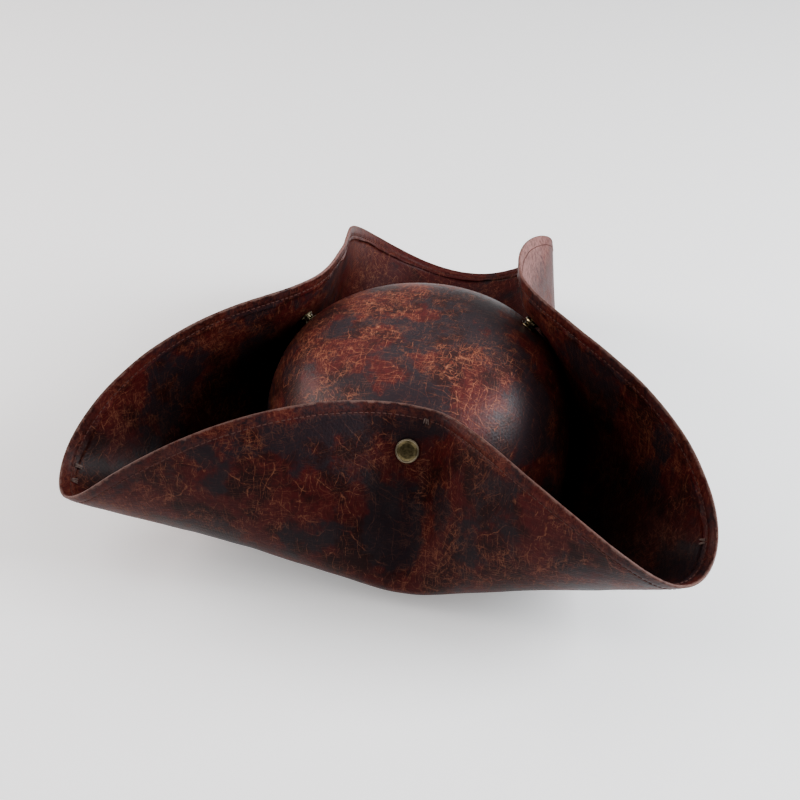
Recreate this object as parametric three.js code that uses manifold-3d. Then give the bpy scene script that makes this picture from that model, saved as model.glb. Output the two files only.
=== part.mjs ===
// A three-cornered (tricorn) hat of distressed brown faux leather.
// Millimetres, +Z up. The hat stands on the crown's open foot, with the front flap towards -Y.

import * as THREE from 'three';
import { mergeVertices } from 'three/addons/utils/BufferGeometryUtils.js';
import Module from 'manifold-3d';

const wasm = await Module();
wasm.setup();

// Crown: a dome, oval in plan. A roundness of 2 would be an ellipsoid, and a higher one is squarer.
const CROWN = { halfWidth: 95.5, halfDepth: 100, height: 110, roundness: 3.3, wall: 2 };
const CROWN_SEGMENTS = 54;
const CROWN_RINGS = 9;

// Brim: a flat ring of leather before it is bent up, with its edge turned over as a hem. Its outer oval
// is a little deeper than it is wide, and sits a little forward of the crown's middle.
const BRIM = { width: 129, extraDepth: 6, forward: 6, leather: 2, hemWidth: 9, hemExtra: 1 };
const BRIM_FOOT_HEIGHT = 2;
const BRIM_SEGMENTS = 90;
const BRIM_ROWS = 12;
const RIM_BULGE = 1;

// The flaps: where each one is snapped to the crown, and where its leather creases. Angles are degrees
// around the crown. The snap's height is its place on the crown. On the brim it sits at its own angle,
// an inset from the edge, so that snapping it pulls the flap a little sideways.
const FLAPS = [
  { name: 'front', azimuth: 277.5, height: 79.5, onBrim: 272.5, inset: 22.5, crease: 278, creaseWidth: 19 },
  { name: 'rear_left', azimuth: 158.5, height: 82, onBrim: 159.5, inset: 32, crease: 135.5, creaseWidth: 23.5 },
  { name: 'rear_right', azimuth: 26, height: 97, onBrim: 22.5, inset: 32, crease: 56, creaseWidth: 23.5 },
];

// A crease is a soft band of leather. It starts and reaches its full softness at these shares of the
// brim's width.
const CREASE = { softness: 0.9, start: 0.08, full: 0.38, softest: 0.02 };

// Press snaps, along the line from the crown's outer face through the flap.
const FLAP_LIFT = 6;
const CLEARANCE = 0.3;
const CAP = { radius: 6.75, crownHeight: 1.6, edge: 0.6, barrelRadius: 2 };
const SOCKET = { radius: 4.8, height: 2.8, wall: 2.3, roof: 0.7 };
const STUD = { flangeRadius: 5.2, flange: 0.8, headRadius: 1.9, neckRadius: 1.5, head: 1.2, height: 3.2 };
const EYELET = { flangeRadius: 5, flange: 0.8, postRadius: 1.7 };
const SNAP_SEGMENTS = 14;

const LEATHER = { color: 0x4a241b, roughness: 0.55, metalness: 0 };
const DARK_LEATHER = { color: 0x3d1d16, roughness: 0.55, metalness: 0 };
const ANTIQUE_BRASS = { color: 0x5c5038, roughness: 0.45, metalness: 0.9 };

const FULL_TURN = 2 * Math.PI;
const radians = (degrees) => (degrees * Math.PI) / 180;

// Crown surface

// How far out the dome reaches at a height, as a share of its foot.
function crownShare(height, top) {
  const share = Math.min(Math.max(height / top, 0), 1);
  return (1 - share ** CROWN.roundness) ** (1 / CROWN.roundness);
}

// A point on the dome, grown outwards by a distance.
function crownPoint(azimuth, height, grown) {
  const share = crownShare(height, CROWN.height + grown);
  const x = (CROWN.halfWidth + grown) * share * Math.cos(azimuth);
  const y = (CROWN.halfDepth + grown) * share * Math.sin(azimuth);
  return new THREE.Vector3(x, y, height);
}

// The dome's outward direction there, square to two short steps along its surface.
function crownNormal(azimuth, height) {
  const step = 0.01;
  const around = crownPoint(azimuth + step, height, 0).sub(crownPoint(azimuth - step, height, 0));
  const upward = crownPoint(azimuth, height + step, 0).sub(crownPoint(azimuth, height - step, 0));
  return around.cross(upward).normalize();
}

// Brim leather, laid flat as a grid of points

const POINTS = BRIM_SEGMENTS * BRIM_ROWS;
const RIM_ROW = BRIM_ROWS - 1;
const HEM_ROW = BRIM_ROWS - 2;
const pointAt = (segment, row) => ((segment + BRIM_SEGMENTS) % BRIM_SEGMENTS) * BRIM_ROWS + row;

// How far each row lies from the crown to the rim, as a share of the brim's width.
function rowShares() {
  const hemShare = 1 - BRIM.hemWidth / BRIM.width;
  const shares = [];
  for (let row = 0; row <= HEM_ROW; row++) {
    shares.push((hemShare * row) / HEM_ROW);
  }
  shares.push(1);
  return shares;
}
const ROW_SHARES = rowShares();

function ovalRadius(azimuth, halfWidth, halfDepth) {
  return (halfWidth * halfDepth) / Math.hypot(halfDepth * Math.cos(azimuth), halfWidth * Math.sin(azimuth));
}

// How far the brim's outer oval lies from the crown's middle, in a direction.
function outerRadius(azimuth) {
  const halfWidth = CROWN.halfWidth + BRIM.width;
  const halfDepth = CROWN.halfDepth + BRIM.width + BRIM.extraDepth;
  const x = Math.cos(azimuth);
  const y = Math.sin(azimuth);
  const a = (x / halfWidth) ** 2 + (y / halfDepth) ** 2;
  const b = (-y * BRIM.forward) / halfDepth ** 2;
  const c = (BRIM.forward / halfDepth) ** 2 - 1;
  return (b + Math.sqrt(b * b - a * c)) / a;
}

function flatRing() {
  const places = new Float64Array(3 * POINTS);
  for (let segment = 0; segment < BRIM_SEGMENTS; segment++) {
    const azimuth = (FULL_TURN * segment) / BRIM_SEGMENTS;
    const inner = ovalRadius(azimuth, CROWN.halfWidth + CLEARANCE, CROWN.halfDepth + CLEARANCE);
    const outer = outerRadius(azimuth);
    for (let row = 0; row < BRIM_ROWS; row++) {
      const radius = inner + (outer - inner) * ROW_SHARES[row];
      const at = 3 * pointAt(segment, row);
      places[at] = radius * Math.cos(azimuth);
      places[at + 1] = radius * Math.sin(azimuth);
      places[at + 2] = BRIM_FOOT_HEIGHT;
    }
  }
  return places;
}

function ringTriangles() {
  const triangles = [];
  for (let segment = 0; segment < BRIM_SEGMENTS; segment++) {
    for (let row = 0; row < RIM_ROW; row++) {
      const a = pointAt(segment, row);
      const b = pointAt(segment, row + 1);
      const c = pointAt(segment + 1, row + 1);
      const d = pointAt(segment + 1, row);
      if ((segment + row) % 2) {
        triangles.push([a, b, c], [a, c, d]);
      } else {
        triangles.push([a, b, d], [b, c, d]);
      }
    }
  }
  return triangles;
}

// Each edge of the grid, with the far corners of the triangles beside it.
function ringEdges() {
  const edges = new Map();
  for (const corners of ringTriangles()) {
    for (let side = 0; side < 3; side++) {
      const first = corners[side];
      const second = corners[(side + 1) % 3];
      const a = Math.min(first, second);
      const b = Math.max(first, second);
      const key = a * POINTS + b;
      if (!edges.has(key)) {
        edges.set(key, { a, b, far: [] });
      }
      edges.get(key).far.push(corners[(side + 2) % 3]);
    }
  }
  return [...edges.values()];
}

// What resists when the leather is bent out of flat

const STRETCH_STIFFNESS = 400;
const BEND_STIFFNESS = 40;
const SNAP_STIFFNESS = 50;
const SNAP_TILT_STIFFNESS = 20;
const CONTACT_STIFFNESS = 5;
const SNAP_SEAT_RADIUS = 7.5;
const CROWN_CLEARANCE = 4;
const FLOOR_HEIGHT = 1.5;

const vectorAt = (places, point) => new THREE.Vector3().fromArray(places, 3 * point);

function cotangent(places, corner, a, b) {
  const toA = vectorAt(places, a).sub(vectorAt(places, corner));
  const toB = vectorAt(places, b).sub(vectorAt(places, corner));
  return toA.dot(toB) / toA.cross(toB).length();
}

function triangleArea(places, a, b, c) {
  const side = vectorAt(places, b).sub(vectorAt(places, a));
  return side.cross(vectorAt(places, c).sub(vectorAt(places, a))).length() / 2;
}

// Leather is softer along the crease of each flap.
function creaseStiffness(places, edge) {
  const middle = vectorAt(places, edge.a).add(vectorAt(places, edge.b)).divideScalar(2);
  const azimuth = Math.atan2(middle.y, middle.x);
  const fromCrown = Math.hypot(middle.x, middle.y) - ovalRadius(azimuth, CROWN.halfWidth, CROWN.halfDepth);
  const grown = (fromCrown / BRIM.width - CREASE.start) / (CREASE.full - CREASE.start);
  const softness = CREASE.softness * Math.min(Math.max(grown, 0), 1);
  let stiffness = 1;
  for (const flap of FLAPS) {
    const offset = azimuth - radians(flap.crease);
    const apart = Math.atan2(Math.sin(offset), Math.cos(offset));
    stiffness -= softness * Math.exp(-((apart / radians(flap.creaseWidth)) ** 2));
  }
  return Math.max(stiffness, CREASE.softest);
}

// A fold across an edge, as the weights of its four corners that add up to its curvature.
function foldOf(places, edge) {
  const { a, b } = edge;
  const [c, d] = edge.far;
  const atAc = cotangent(places, a, b, c);
  const atBc = cotangent(places, b, a, c);
  const atAd = cotangent(places, a, b, d);
  const atBd = cotangent(places, b, a, d);
  const area = triangleArea(places, a, b, c) + triangleArea(places, a, b, d);
  return {
    corners: [a, b, c, d],
    weights: [atBc + atBd, atAc + atAd, -atAc - atBc, -atAd - atBd],
    stiffness: (BEND_STIFFNESS * creaseStiffness(places, edge) * 3) / area,
  };
}

function springsOf(places, edges) {
  return edges.map(({ a, b }) => ({ a, b, rest: vectorAt(places, a).distanceTo(vectorAt(places, b)) }));
}

// A place on the leather, as shares of the four grid points around it.
function leatherPlace(azimuth, inset) {
  const along = ((azimuth / FULL_TURN) * BRIM_SEGMENTS + BRIM_SEGMENTS) % BRIM_SEGMENTS;
  const segment = Math.floor(along);
  const share = 1 - inset / BRIM.width;
  const row = Math.min(ROW_SHARES.findLastIndex((value) => value <= share), HEM_ROW);
  const across = (share - ROW_SHARES[row]) / (ROW_SHARES[row + 1] - ROW_SHARES[row]);
  const turned = along - segment;
  return {
    points: [
      pointAt(segment, row),
      pointAt(segment, row + 1),
      pointAt(segment + 1, row),
      pointAt(segment + 1, row + 1),
    ],
    shares: [
      (1 - turned) * (1 - across),
      (1 - turned) * across,
      turned * (1 - across),
      turned * across,
    ],
  };
}

// Each snap holds one place of the flap at the crown, and four around it level with the crown.
function snapHolds() {
  const holds = [];
  for (const flap of FLAPS) {
    const azimuth = radians(flap.azimuth);
    const normal = crownNormal(azimuth, flap.height);
    const target = crownPoint(azimuth, flap.height, 0).addScaledVector(normal, FLAP_LIFT);
    const onBrim = radians(flap.onBrim);
    const middle = leatherPlace(onBrim, flap.inset);
    for (const unit of [[1, 0, 0], [0, 1, 0], [0, 0, 1]]) {
      const axis = new THREE.Vector3(...unit);
      holds.push({ ...middle, target, axis, stiffness: SNAP_STIFFNESS });
    }
    const turn = SNAP_SEAT_RADIUS / (CROWN.halfDepth + BRIM.width - flap.inset);
    const around = [
      leatherPlace(onBrim + turn, flap.inset),
      leatherPlace(onBrim - turn, flap.inset),
      leatherPlace(onBrim, flap.inset + SNAP_SEAT_RADIUS),
      leatherPlace(onBrim, flap.inset - SNAP_SEAT_RADIUS),
    ];
    for (const place of around) {
      holds.push({ ...place, target, axis: normal, stiffness: SNAP_TILT_STIFFNESS });
    }
  }
  return holds;
}

// Energy of the bent leather. Each part adds its slope to `slope` and returns its own energy.

function stretchEnergy(springs, places, slope) {
  let energy = 0;
  for (const { a, b, rest } of springs) {
    const dx = places[3 * a] - places[3 * b];
    const dy = places[3 * a + 1] - places[3 * b + 1];
    const dz = places[3 * a + 2] - places[3 * b + 2];
    const length = Math.sqrt(dx * dx + dy * dy + dz * dz);
    const strain = (length - rest) / rest;
    energy += 0.5 * STRETCH_STIFFNESS * strain * strain * rest;
    const pull = (STRETCH_STIFFNESS * strain) / length;
    slope[3 * a] += pull * dx;
    slope[3 * a + 1] += pull * dy;
    slope[3 * a + 2] += pull * dz;
    slope[3 * b] -= pull * dx;
    slope[3 * b + 1] -= pull * dy;
    slope[3 * b + 2] -= pull * dz;
  }
  return energy;
}

function bendEnergy(folds, places, slope) {
  let energy = 0;
  for (const { corners, weights, stiffness } of folds) {
    for (let axis = 0; axis < 3; axis++) {
      let curvature = 0;
      for (let corner = 0; corner < 4; corner++) {
        curvature += weights[corner] * places[3 * corners[corner] + axis];
      }
      energy += 0.5 * stiffness * curvature * curvature;
      for (let corner = 0; corner < 4; corner++) {
        slope[3 * corners[corner] + axis] += stiffness * curvature * weights[corner];
      }
    }
  }
  return energy;
}

function holdEnergy(holds, places, slope) {
  let energy = 0;
  for (const { points, shares, target, axis, stiffness } of holds) {
    const held = new THREE.Vector3();
    points.forEach((point, index) => held.addScaledVector(vectorAt(places, point), shares[index]));
    const away = held.sub(target).dot(axis);
    energy += 0.5 * stiffness * away * away;
    points.forEach((point, index) => {
      const pull = stiffness * away * shares[index];
      slope[3 * point] += pull * axis.x;
      slope[3 * point + 1] += pull * axis.y;
      slope[3 * point + 2] += pull * axis.z;
    });
  }
  return energy;
}

// The floor pushes up what sinks into it, and the crown pushes out what comes too near.
function contactEnergy(places, slope) {
  const halfWidth = CROWN.halfWidth + CROWN_CLEARANCE;
  const halfDepth = CROWN.halfDepth + CROWN_CLEARANCE;
  const top = CROWN.height + CROWN_CLEARANCE;
  const scale = (halfWidth + halfDepth) / 2;
  let energy = 0;
  for (let point = 0; point < POINTS; point++) {
    const x = places[3 * point];
    const y = places[3 * point + 1];
    const z = places[3 * point + 2];
    const sunk = Math.min(z - FLOOR_HEIGHT, 0);
    energy += 0.5 * CONTACT_STIFFNESS * sunk * sunk;
    slope[3 * point + 2] += CONTACT_STIFFNESS * sunk;
    if (point % BRIM_ROWS > 0 && z < top) {
      const share = Math.hypot(x / halfWidth, y / halfDepth);
      const inside = Math.min(share - crownShare(z, top), 0) * scale;
      energy += 0.5 * CONTACT_STIFFNESS * inside * inside;
      const push = (CONTACT_STIFFNESS * inside * scale) / share;
      slope[3 * point] += (push * x) / (halfWidth * halfWidth);
      slope[3 * point + 1] += (push * y) / (halfDepth * halfDepth);
    }
  }
  return energy;
}

// First guess: the part of the ring beyond each flap's fold line is turned up.
const FOLD_DISTANCE = 112;
const FOLD_ANGLE = radians(105);

function foldedGuess(places) {
  const guess = places.slice();
  for (let point = 0; point < POINTS; point++) {
    const x = places[3 * point];
    const y = places[3 * point + 1];
    for (const flap of FLAPS) {
      const azimuth = radians(flap.azimuth);
      const beyond = x * Math.cos(azimuth) + y * Math.sin(azimuth) - FOLD_DISTANCE;
      const lift = beyond * Math.sin(FOLD_ANGLE);
      if (beyond > 0 && BRIM_FOOT_HEIGHT + lift > guess[3 * point + 2]) {
        const back = beyond * (1 - Math.cos(FOLD_ANGLE));
        guess[3 * point] = x - back * Math.cos(azimuth);
        guess[3 * point + 1] = y - back * Math.sin(azimuth);
        guess[3 * point + 2] = BRIM_FOOT_HEIGHT + lift;
      }
    }
  }
  return guess;
}

// The bent shape is the one with the least energy. Each step goes downhill, turned by what the last few
// steps showed of the slope's own change.

const RELAX_STEPS = 4000;
const RELAX_MEMORY = 24;
const SUFFICIENT_DROP = 1e-4;
const SHORTEST_STEP = 1e-10;

function dot(first, second) {
  let sum = 0;
  for (let index = 0; index < first.length; index++) {
    sum += first[index] * second[index];
  }
  return sum;
}

function addScaled(target, source, scale) {
  for (let index = 0; index < target.length; index++) {
    target[index] += scale * source[index];
  }
}

function downhill(slope, memory) {
  const direction = slope.map((value) => -value);
  for (const pair of [...memory].reverse()) {
    pair.share = dot(pair.move, direction) / pair.gain;
    addScaled(direction, pair.change, -pair.share);
  }
  if (memory.length > 0) {
    const last = memory[memory.length - 1];
    const scale = last.gain / dot(last.change, last.change);
    direction.forEach((value, index) => {
      direction[index] = value * scale;
    });
  }
  for (const pair of memory) {
    const share = dot(pair.change, direction) / pair.gain;
    addScaled(direction, pair.move, pair.share - share);
  }
  return direction;
}

function relax(start, energyOf) {
  let places = start;
  let slope = new Float64Array(places.length);
  let energy = energyOf(places, slope);
  let memory = [];
  for (let count = 0; count < RELAX_STEPS; count++) {
    const direction = downhill(slope, memory);
    const steepness = dot(direction, slope);
    let step = memory.length > 0 ? 1 : 1 / Math.sqrt(-steepness);
    let next = null;
    let nextSlope = null;
    let nextEnergy = Infinity;
    while (step > SHORTEST_STEP) {
      next = places.slice();
      addScaled(next, direction, step);
      nextSlope = new Float64Array(places.length);
      nextEnergy = energyOf(next, nextSlope);
      if (nextEnergy <= energy + SUFFICIENT_DROP * step * steepness) {
        break;
      }
      step /= 2;
    }
    if (!(nextEnergy < energy)) {
      break;
    }
    const move = next.map((value, index) => value - places[index]);
    const change = nextSlope.map((value, index) => value - slope[index]);
    const gain = dot(move, change);
    if (gain > 0) {
      memory.push({ move, change, gain });
      memory = memory.slice(-RELAX_MEMORY);
    }
    places = next;
    slope = nextSlope;
    energy = nextEnergy;
  }
  return places;
}

function bentBrim() {
  const flat = flatRing();
  const edges = ringEdges();
  const springs = springsOf(flat, edges);
  const folds = edges.filter((edge) => edge.far.length === 2).map((edge) => foldOf(flat, edge));
  const holds = snapHolds();
  const energyOf = (places, slope) => {
    const energy =
      stretchEnergy(springs, places, slope) +
      bendEnergy(folds, places, slope) +
      holdEnergy(holds, places, slope) +
      contactEnergy(places, slope);
    for (let segment = 0; segment < BRIM_SEGMENTS; segment++) {
      slope.fill(0, 3 * pointAt(segment, 0), 3 * pointAt(segment, 1));
    }
    return energy;
  };
  return relax(foldedGuess(flat), energyOf);
}

// Solids

function solidOf(geometry) {
  const bare = new THREE.BufferGeometry();
  bare.setAttribute('position', geometry.getAttribute('position'));
  bare.setIndex(geometry.getIndex());
  const merged = mergeVertices(bare);
  const corners = merged.getIndex().array;
  const kept = [];
  for (let at = 0; at < corners.length; at += 3) {
    const [a, b, c] = corners.slice(at, at + 3);
    if (a !== b && b !== c && c !== a) {
      kept.push(a, b, c);
    }
  }
  const mesh = new wasm.Mesh({
    numProp: 3,
    vertProperties: new Float32Array(merged.getAttribute('position').array),
    triVerts: new Uint32Array(kept),
  });
  return new wasm.Manifold(mesh);
}

function geometryOf(solid) {
  const { vertProperties, triVerts } = solid.getMesh();
  const geometry = new THREE.BufferGeometry();
  geometry.setAttribute('position', new THREE.BufferAttribute(vertProperties, 3));
  geometry.setIndex(new THREE.BufferAttribute(triVerts, 1));
  return geometry;
}

function meshOf(name, geometry, look) {
  geometry.computeVertexNormals();
  const mesh = new THREE.Mesh(geometry, new THREE.MeshStandardMaterial({ ...look, flatShading: true }));
  mesh.name = name;
  return mesh;
}

// A turned solid about +Z, from radius and height pairs that run from the bottom to the top.
function turned(profile, segments) {
  const points = profile.map(([radius, height]) => new THREE.Vector2(radius, height));
  return new THREE.LatheGeometry(points, segments).rotateX(Math.PI / 2);
}

// The snap's own space: its origin is on the crown's outer face and +Z points out through the flap.
function snapSpace(flap) {
  const azimuth = radians(flap.azimuth);
  const origin = crownPoint(azimuth, flap.height, 0);
  const outward = crownNormal(azimuth, flap.height);
  const turn = new THREE.Quaternion().setFromUnitVectors(new THREE.Vector3(0, 0, 1), outward);
  return new THREE.Matrix4().compose(origin, turn, new THREE.Vector3(1, 1, 1));
}

function punch(radius, from, to, flap) {
  const profile = [[0, from], [radius, from], [radius, to], [0, to]];
  return solidOf(turned(profile, SNAP_SEGMENTS).applyMatrix4(snapSpace(flap)));
}

// Crown

function crownWall() {
  const inner = [];
  const outer = [];
  for (let ring = 0; ring <= CROWN_RINGS; ring++) {
    const angle = (Math.PI / 2) * (ring / CROWN_RINGS);
    const height = Math.sin(angle) ** (2 / CROWN.roundness);
    const share = Math.cos(angle) ** (2 / CROWN.roundness);
    const radius = ring === CROWN_RINGS ? 0 : share;
    outer.push([CROWN.halfWidth * radius, CROWN.height * height]);
    inner.push([(CROWN.halfWidth - CROWN.wall) * radius, (CROWN.height - CROWN.wall) * height]);
  }
  const profile = [...inner.reverse(), ...outer];
  const oval = CROWN.halfDepth / CROWN.halfWidth;
  return turned(profile, CROWN_SEGMENTS).scale(1, oval, 1);
}

function crown() {
  let solid = solidOf(crownWall());
  for (const flap of FLAPS) {
    const innerFace = -CROWN.wall;
    const reach = CROWN.wall;
    solid = solid
      .subtract(punch(EYELET.postRadius + CLEARANCE, innerFace - reach, reach, flap))
      .subtract(punch(EYELET.flangeRadius + CLEARANCE, innerFace - reach, innerFace, flap));
  }
  return meshOf('crown', geometryOf(solid), LEATHER);
}

// Brim

// The leather's middle surface and its upward direction at a grid point. The edge at the crown is
// cut upright, so that it follows the crown's wall.
function leatherFrame(places, segment, row) {
  if (row === 0) {
    return { middle: vectorAt(places, pointAt(segment, 0)), upDirection: new THREE.Vector3(0, 0, 1) };
  }
  const before = vectorAt(places, pointAt(segment - 1, row));
  const around = vectorAt(places, pointAt(segment + 1, row)).sub(before);
  const nearer = vectorAt(places, pointAt(segment, row - 1));
  const outward = vectorAt(places, pointAt(segment, Math.min(row + 1, RIM_ROW))).sub(nearer);
  const outDirection = outward.normalize();
  const upDirection = outDirection.clone().cross(around).normalize();
  return { middle: vectorAt(places, pointAt(segment, row)), upDirection, outDirection };
}

// One slice of the brim, from the crown along the upper face to the rim and back along the lower face.
function brimSlice(places, segment) {
  const half = BRIM.leather / 2;
  const upper = [];
  const lower = [];
  for (let row = 0; row <= RIM_ROW; row++) {
    const { middle, upDirection, outDirection } = leatherFrame(places, segment, row);
    const raised = (distance) => middle.clone().addScaledVector(upDirection, distance);
    if (row <= HEM_ROW) {
      upper.push(raised(half));
    }
    if (row >= HEM_ROW) {
      upper.push(raised(half + BRIM.hemExtra));
    }
    if (row === RIM_ROW) {
      upper.push(raised(BRIM.hemExtra / 2).addScaledVector(outDirection, RIM_BULGE));
    }
    lower.push(raised(-half));
  }
  return [...upper, ...lower.reverse()];
}

function brimSkin(places) {
  const slices = [];
  for (let segment = 0; segment < BRIM_SEGMENTS; segment++) {
    slices.push(brimSlice(places, segment));
  }
  const count = slices[0].length;
  const corners = [];
  for (let segment = 0; segment < BRIM_SEGMENTS; segment++) {
    for (let index = 0; index < count; index++) {
      const next = ((segment + 1) % BRIM_SEGMENTS) * count;
      const a = segment * count + index;
      const b = segment * count + ((index + 1) % count);
      const c = next + ((index + 1) % count);
      const d = next + index;
      if ((segment + index) % 2) {
        corners.push(a, b, c, a, c, d);
      } else {
        corners.push(a, b, d, b, c, d);
      }
    }
  }
  const geometry = new THREE.BufferGeometry().setFromPoints(slices.flat());
  geometry.setIndex(corners);
  return geometry;
}

function brim() {
  let solid = solidOf(brimSkin(bentBrim()));
  for (const flap of FLAPS) {
    const upperFace = FLAP_LIFT - BRIM.leather / 2;
    const lowerFace = FLAP_LIFT + BRIM.leather / 2;
    const reach = BRIM.leather;
    solid = solid
      .subtract(punch(CAP.barrelRadius + CLEARANCE, upperFace - reach, lowerFace + reach, flap))
      .subtract(punch(SOCKET.radius + CLEARANCE, upperFace - reach, upperFace, flap))
      .subtract(punch(CAP.radius + CLEARANCE, lowerFace, lowerFace + reach, flap));
  }
  return meshOf('brim', geometryOf(solid), DARK_LEATHER);
}

// Snap pieces

function snapPiece(flap, part, profile) {
  const mesh = meshOf(`snap_${flap.name}_${part}`, turned(profile, SNAP_SEGMENTS), ANTIQUE_BRASS);
  mesh.applyMatrix4(snapSpace(flap));
  return mesh;
}

// The visible cap has a rolled edge around a shallow dome, and a barrel that goes through the flap.
function snapCap(flap) {
  const seat = FLAP_LIFT + BRIM.leather / 2 + CLEARANCE;
  const top = seat + CAP.crownHeight;
  const barrelEnd = FLAP_LIFT - BRIM.leather / 2 - CLEARANCE / 2;
  return snapPiece(flap, 'cap', [
    [0, barrelEnd],
    [CAP.barrelRadius, barrelEnd],
    [CAP.barrelRadius, seat],
    [CAP.radius - CAP.edge / 2, seat],
    [CAP.radius, seat + CAP.edge / 2],
    [CAP.radius, seat + CAP.edge],
    [CAP.radius - CAP.edge, top - CAP.edge / 2],
    [CAP.radius - 2 * CAP.edge, top - CAP.edge],
    [CAP.radius / 2, top - CAP.edge / 4],
    [0, top],
  ]);
}

// The socket is a cup that opens towards the crown and closes over the stud's head.
function snapSocket(flap) {
  const top = FLAP_LIFT - BRIM.leather / 2 - 1.5 * CLEARANCE;
  const mouth = top - SOCKET.height;
  const bore = SOCKET.radius - SOCKET.wall;
  return snapPiece(flap, 'socket', [
    [0, top - SOCKET.roof],
    [bore, top - SOCKET.roof],
    [bore, mouth],
    [SOCKET.radius - CAP.edge, mouth],
    [SOCKET.radius, mouth + CAP.edge],
    [SOCKET.radius, top],
    [0, top],
  ]);
}

function snapStud(flap) {
  const seat = CLEARANCE;
  const headFoot = STUD.height - STUD.head;
  return snapPiece(flap, 'stud', [
    [0, seat],
    [STUD.flangeRadius, seat],
    [STUD.flangeRadius, seat + STUD.flange / 2],
    [STUD.neckRadius, seat + STUD.flange],
    [STUD.neckRadius, headFoot],
    [STUD.headRadius, headFoot + STUD.head / 3],
    [STUD.headRadius, STUD.height - STUD.head / 3],
    [STUD.neckRadius, STUD.height],
    [0, STUD.height],
  ]);
}

// The eyelet's flange lies inside the crown, and its post comes out to the stud.
function snapEyelet(flap) {
  const seat = -CROWN.wall - CLEARANCE;
  return snapPiece(flap, 'eyelet', [
    [0, seat - EYELET.flange],
    [EYELET.flangeRadius, seat - EYELET.flange],
    [EYELET.flangeRadius, seat],
    [EYELET.postRadius, seat],
    [EYELET.postRadius, 0],
    [0, 0],
  ]);
}

const group = new THREE.Group();
group.add(crown());
group.add(brim());
for (const flap of FLAPS) {
  group.add(snapCap(flap), snapSocket(flap), snapStud(flap), snapEyelet(flap));
}

// The origin is the centre of the box's foot.
const box = new THREE.Box3().setFromObject(group);
const middle = box.getCenter(new THREE.Vector3());
group.position.set(-middle.x, -middle.y, -box.min.z);
group.updateMatrixWorld(true);

export default group;
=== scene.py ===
# A tricorn hat of distressed brown faux leather, on a pale floor in soft studio light.
# Metres, with +Z up and the front flap towards -Y. The bent brim is worked out in millimetres.

import math

import bpy
import numpy as np
from mathutils import Matrix, Vector


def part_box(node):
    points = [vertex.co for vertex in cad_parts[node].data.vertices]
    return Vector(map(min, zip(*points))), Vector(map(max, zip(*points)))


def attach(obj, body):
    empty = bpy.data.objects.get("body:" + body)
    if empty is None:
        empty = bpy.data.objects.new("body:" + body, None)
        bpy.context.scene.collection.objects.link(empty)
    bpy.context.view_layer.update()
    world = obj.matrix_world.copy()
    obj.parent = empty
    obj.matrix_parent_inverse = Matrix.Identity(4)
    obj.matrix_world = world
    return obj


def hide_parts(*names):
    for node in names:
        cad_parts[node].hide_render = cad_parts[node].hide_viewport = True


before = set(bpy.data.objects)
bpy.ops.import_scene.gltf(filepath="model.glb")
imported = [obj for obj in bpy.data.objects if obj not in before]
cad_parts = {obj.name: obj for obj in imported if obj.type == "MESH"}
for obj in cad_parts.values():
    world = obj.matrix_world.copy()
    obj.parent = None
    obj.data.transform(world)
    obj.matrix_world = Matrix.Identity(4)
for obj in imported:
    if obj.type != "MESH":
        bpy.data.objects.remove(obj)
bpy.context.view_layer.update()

MM = 0.001

# The hat's sizes, as in the CAD model, in millimetres and degrees.
CROWN = {"half_width": 95.5, "half_depth": 100.0, "height": 110.0, "roundness": 3.3, "wall": 2.0}
BRIM = {
    "width": 129.0,
    "extra_depth": 6.0,
    "forward": 6.0,
    "leather": 2.0,
    "hem_width": 9.0,
    "hem_extra": 1.0,
    "foot_height": 2.0,
}
FLAPS = (
    {"name": "front", "azimuth": 277.5, "height": 79.5, "on_brim": 272.5, "inset": 22.5, "crease": 278.0},
    {"name": "rear_left", "azimuth": 158.5, "height": 82.0, "on_brim": 159.5, "inset": 32.0, "crease": 135.5},
    {"name": "rear_right", "azimuth": 26.0, "height": 97.0, "on_brim": 22.5, "inset": 32.0, "crease": 56.0},
)
CREASE_WIDTHS = {"front": 19.0, "rear_left": 23.5, "rear_right": 23.5}
CREASE = {"softness": 0.9, "start": 0.08, "full": 0.38, "softest": 0.02}
FLAP_LIFT = 6.0
CLEARANCE = 0.3
CAP = {"radius": 6.75, "height": 1.6, "edge": 0.6, "barrel_radius": 2.0}
SOCKET = {"radius": 4.8, "height": 2.8, "wall": 2.3, "roof": 0.7, "chamfer": 0.3}
SOCKET_WAIST = {"mouth": 1.3, "inset": 0.9, "low": 1.5, "high": 1.8}
STUD = {
    "flange_radius": 5.2,
    "flange": 0.8,
    "head_radius": 1.9,
    "neck_radius": 1.5,
    "head": 1.2,
    "height": 3.2,
}
STUD_ROOT = {"out": 0.4, "up": 0.2}
EYELET = {"flange_radius": 5.0, "flange": 0.8, "post_radius": 1.7, "edge": 0.4}

# How much sharp turns of the bent leather are rounded off, and how far from the snaps that starts.
EASE = {"passes": 2, "amount": 0.3, "near": 16.0, "far": 45.0, "rows": 3.0}
CREASE_EASE = {"passes": 2, "amount": 0.30, "azimuth": 277.0, "width": 26.0}
PEAK_EASE = {"passes": 5, "amount": 0.4, "azimuth": 128.0, "width": 26.0, "first_row": 5, "rows": 4.0}

# The grid on which the leather bends, and what resists its bending.
SEGMENTS = 90
ROWS = 12
STIFFNESS = {"stretch": 400.0, "bend": 40.0, "snap": 50.0, "tilt": 20.0, "contact": 5.0}
SNAP_SEAT_RADIUS = 7.5
CROWN_CLEARANCE = 4.0
FLOOR_HEIGHT = 1.5
FOLD_DISTANCE = 112.0
FOLD_ANGLE = math.radians(105.0)
RELAX_STEPS = 4000
RELAX_MEMORY = 24
SUFFICIENT_DROP = 1e-4
SHORTEST_STEP = 1e-10


def circle(count):
    """Evenly spaced azimuths, in radians."""
    return 2.0 * math.pi * np.arange(count) / count


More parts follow.
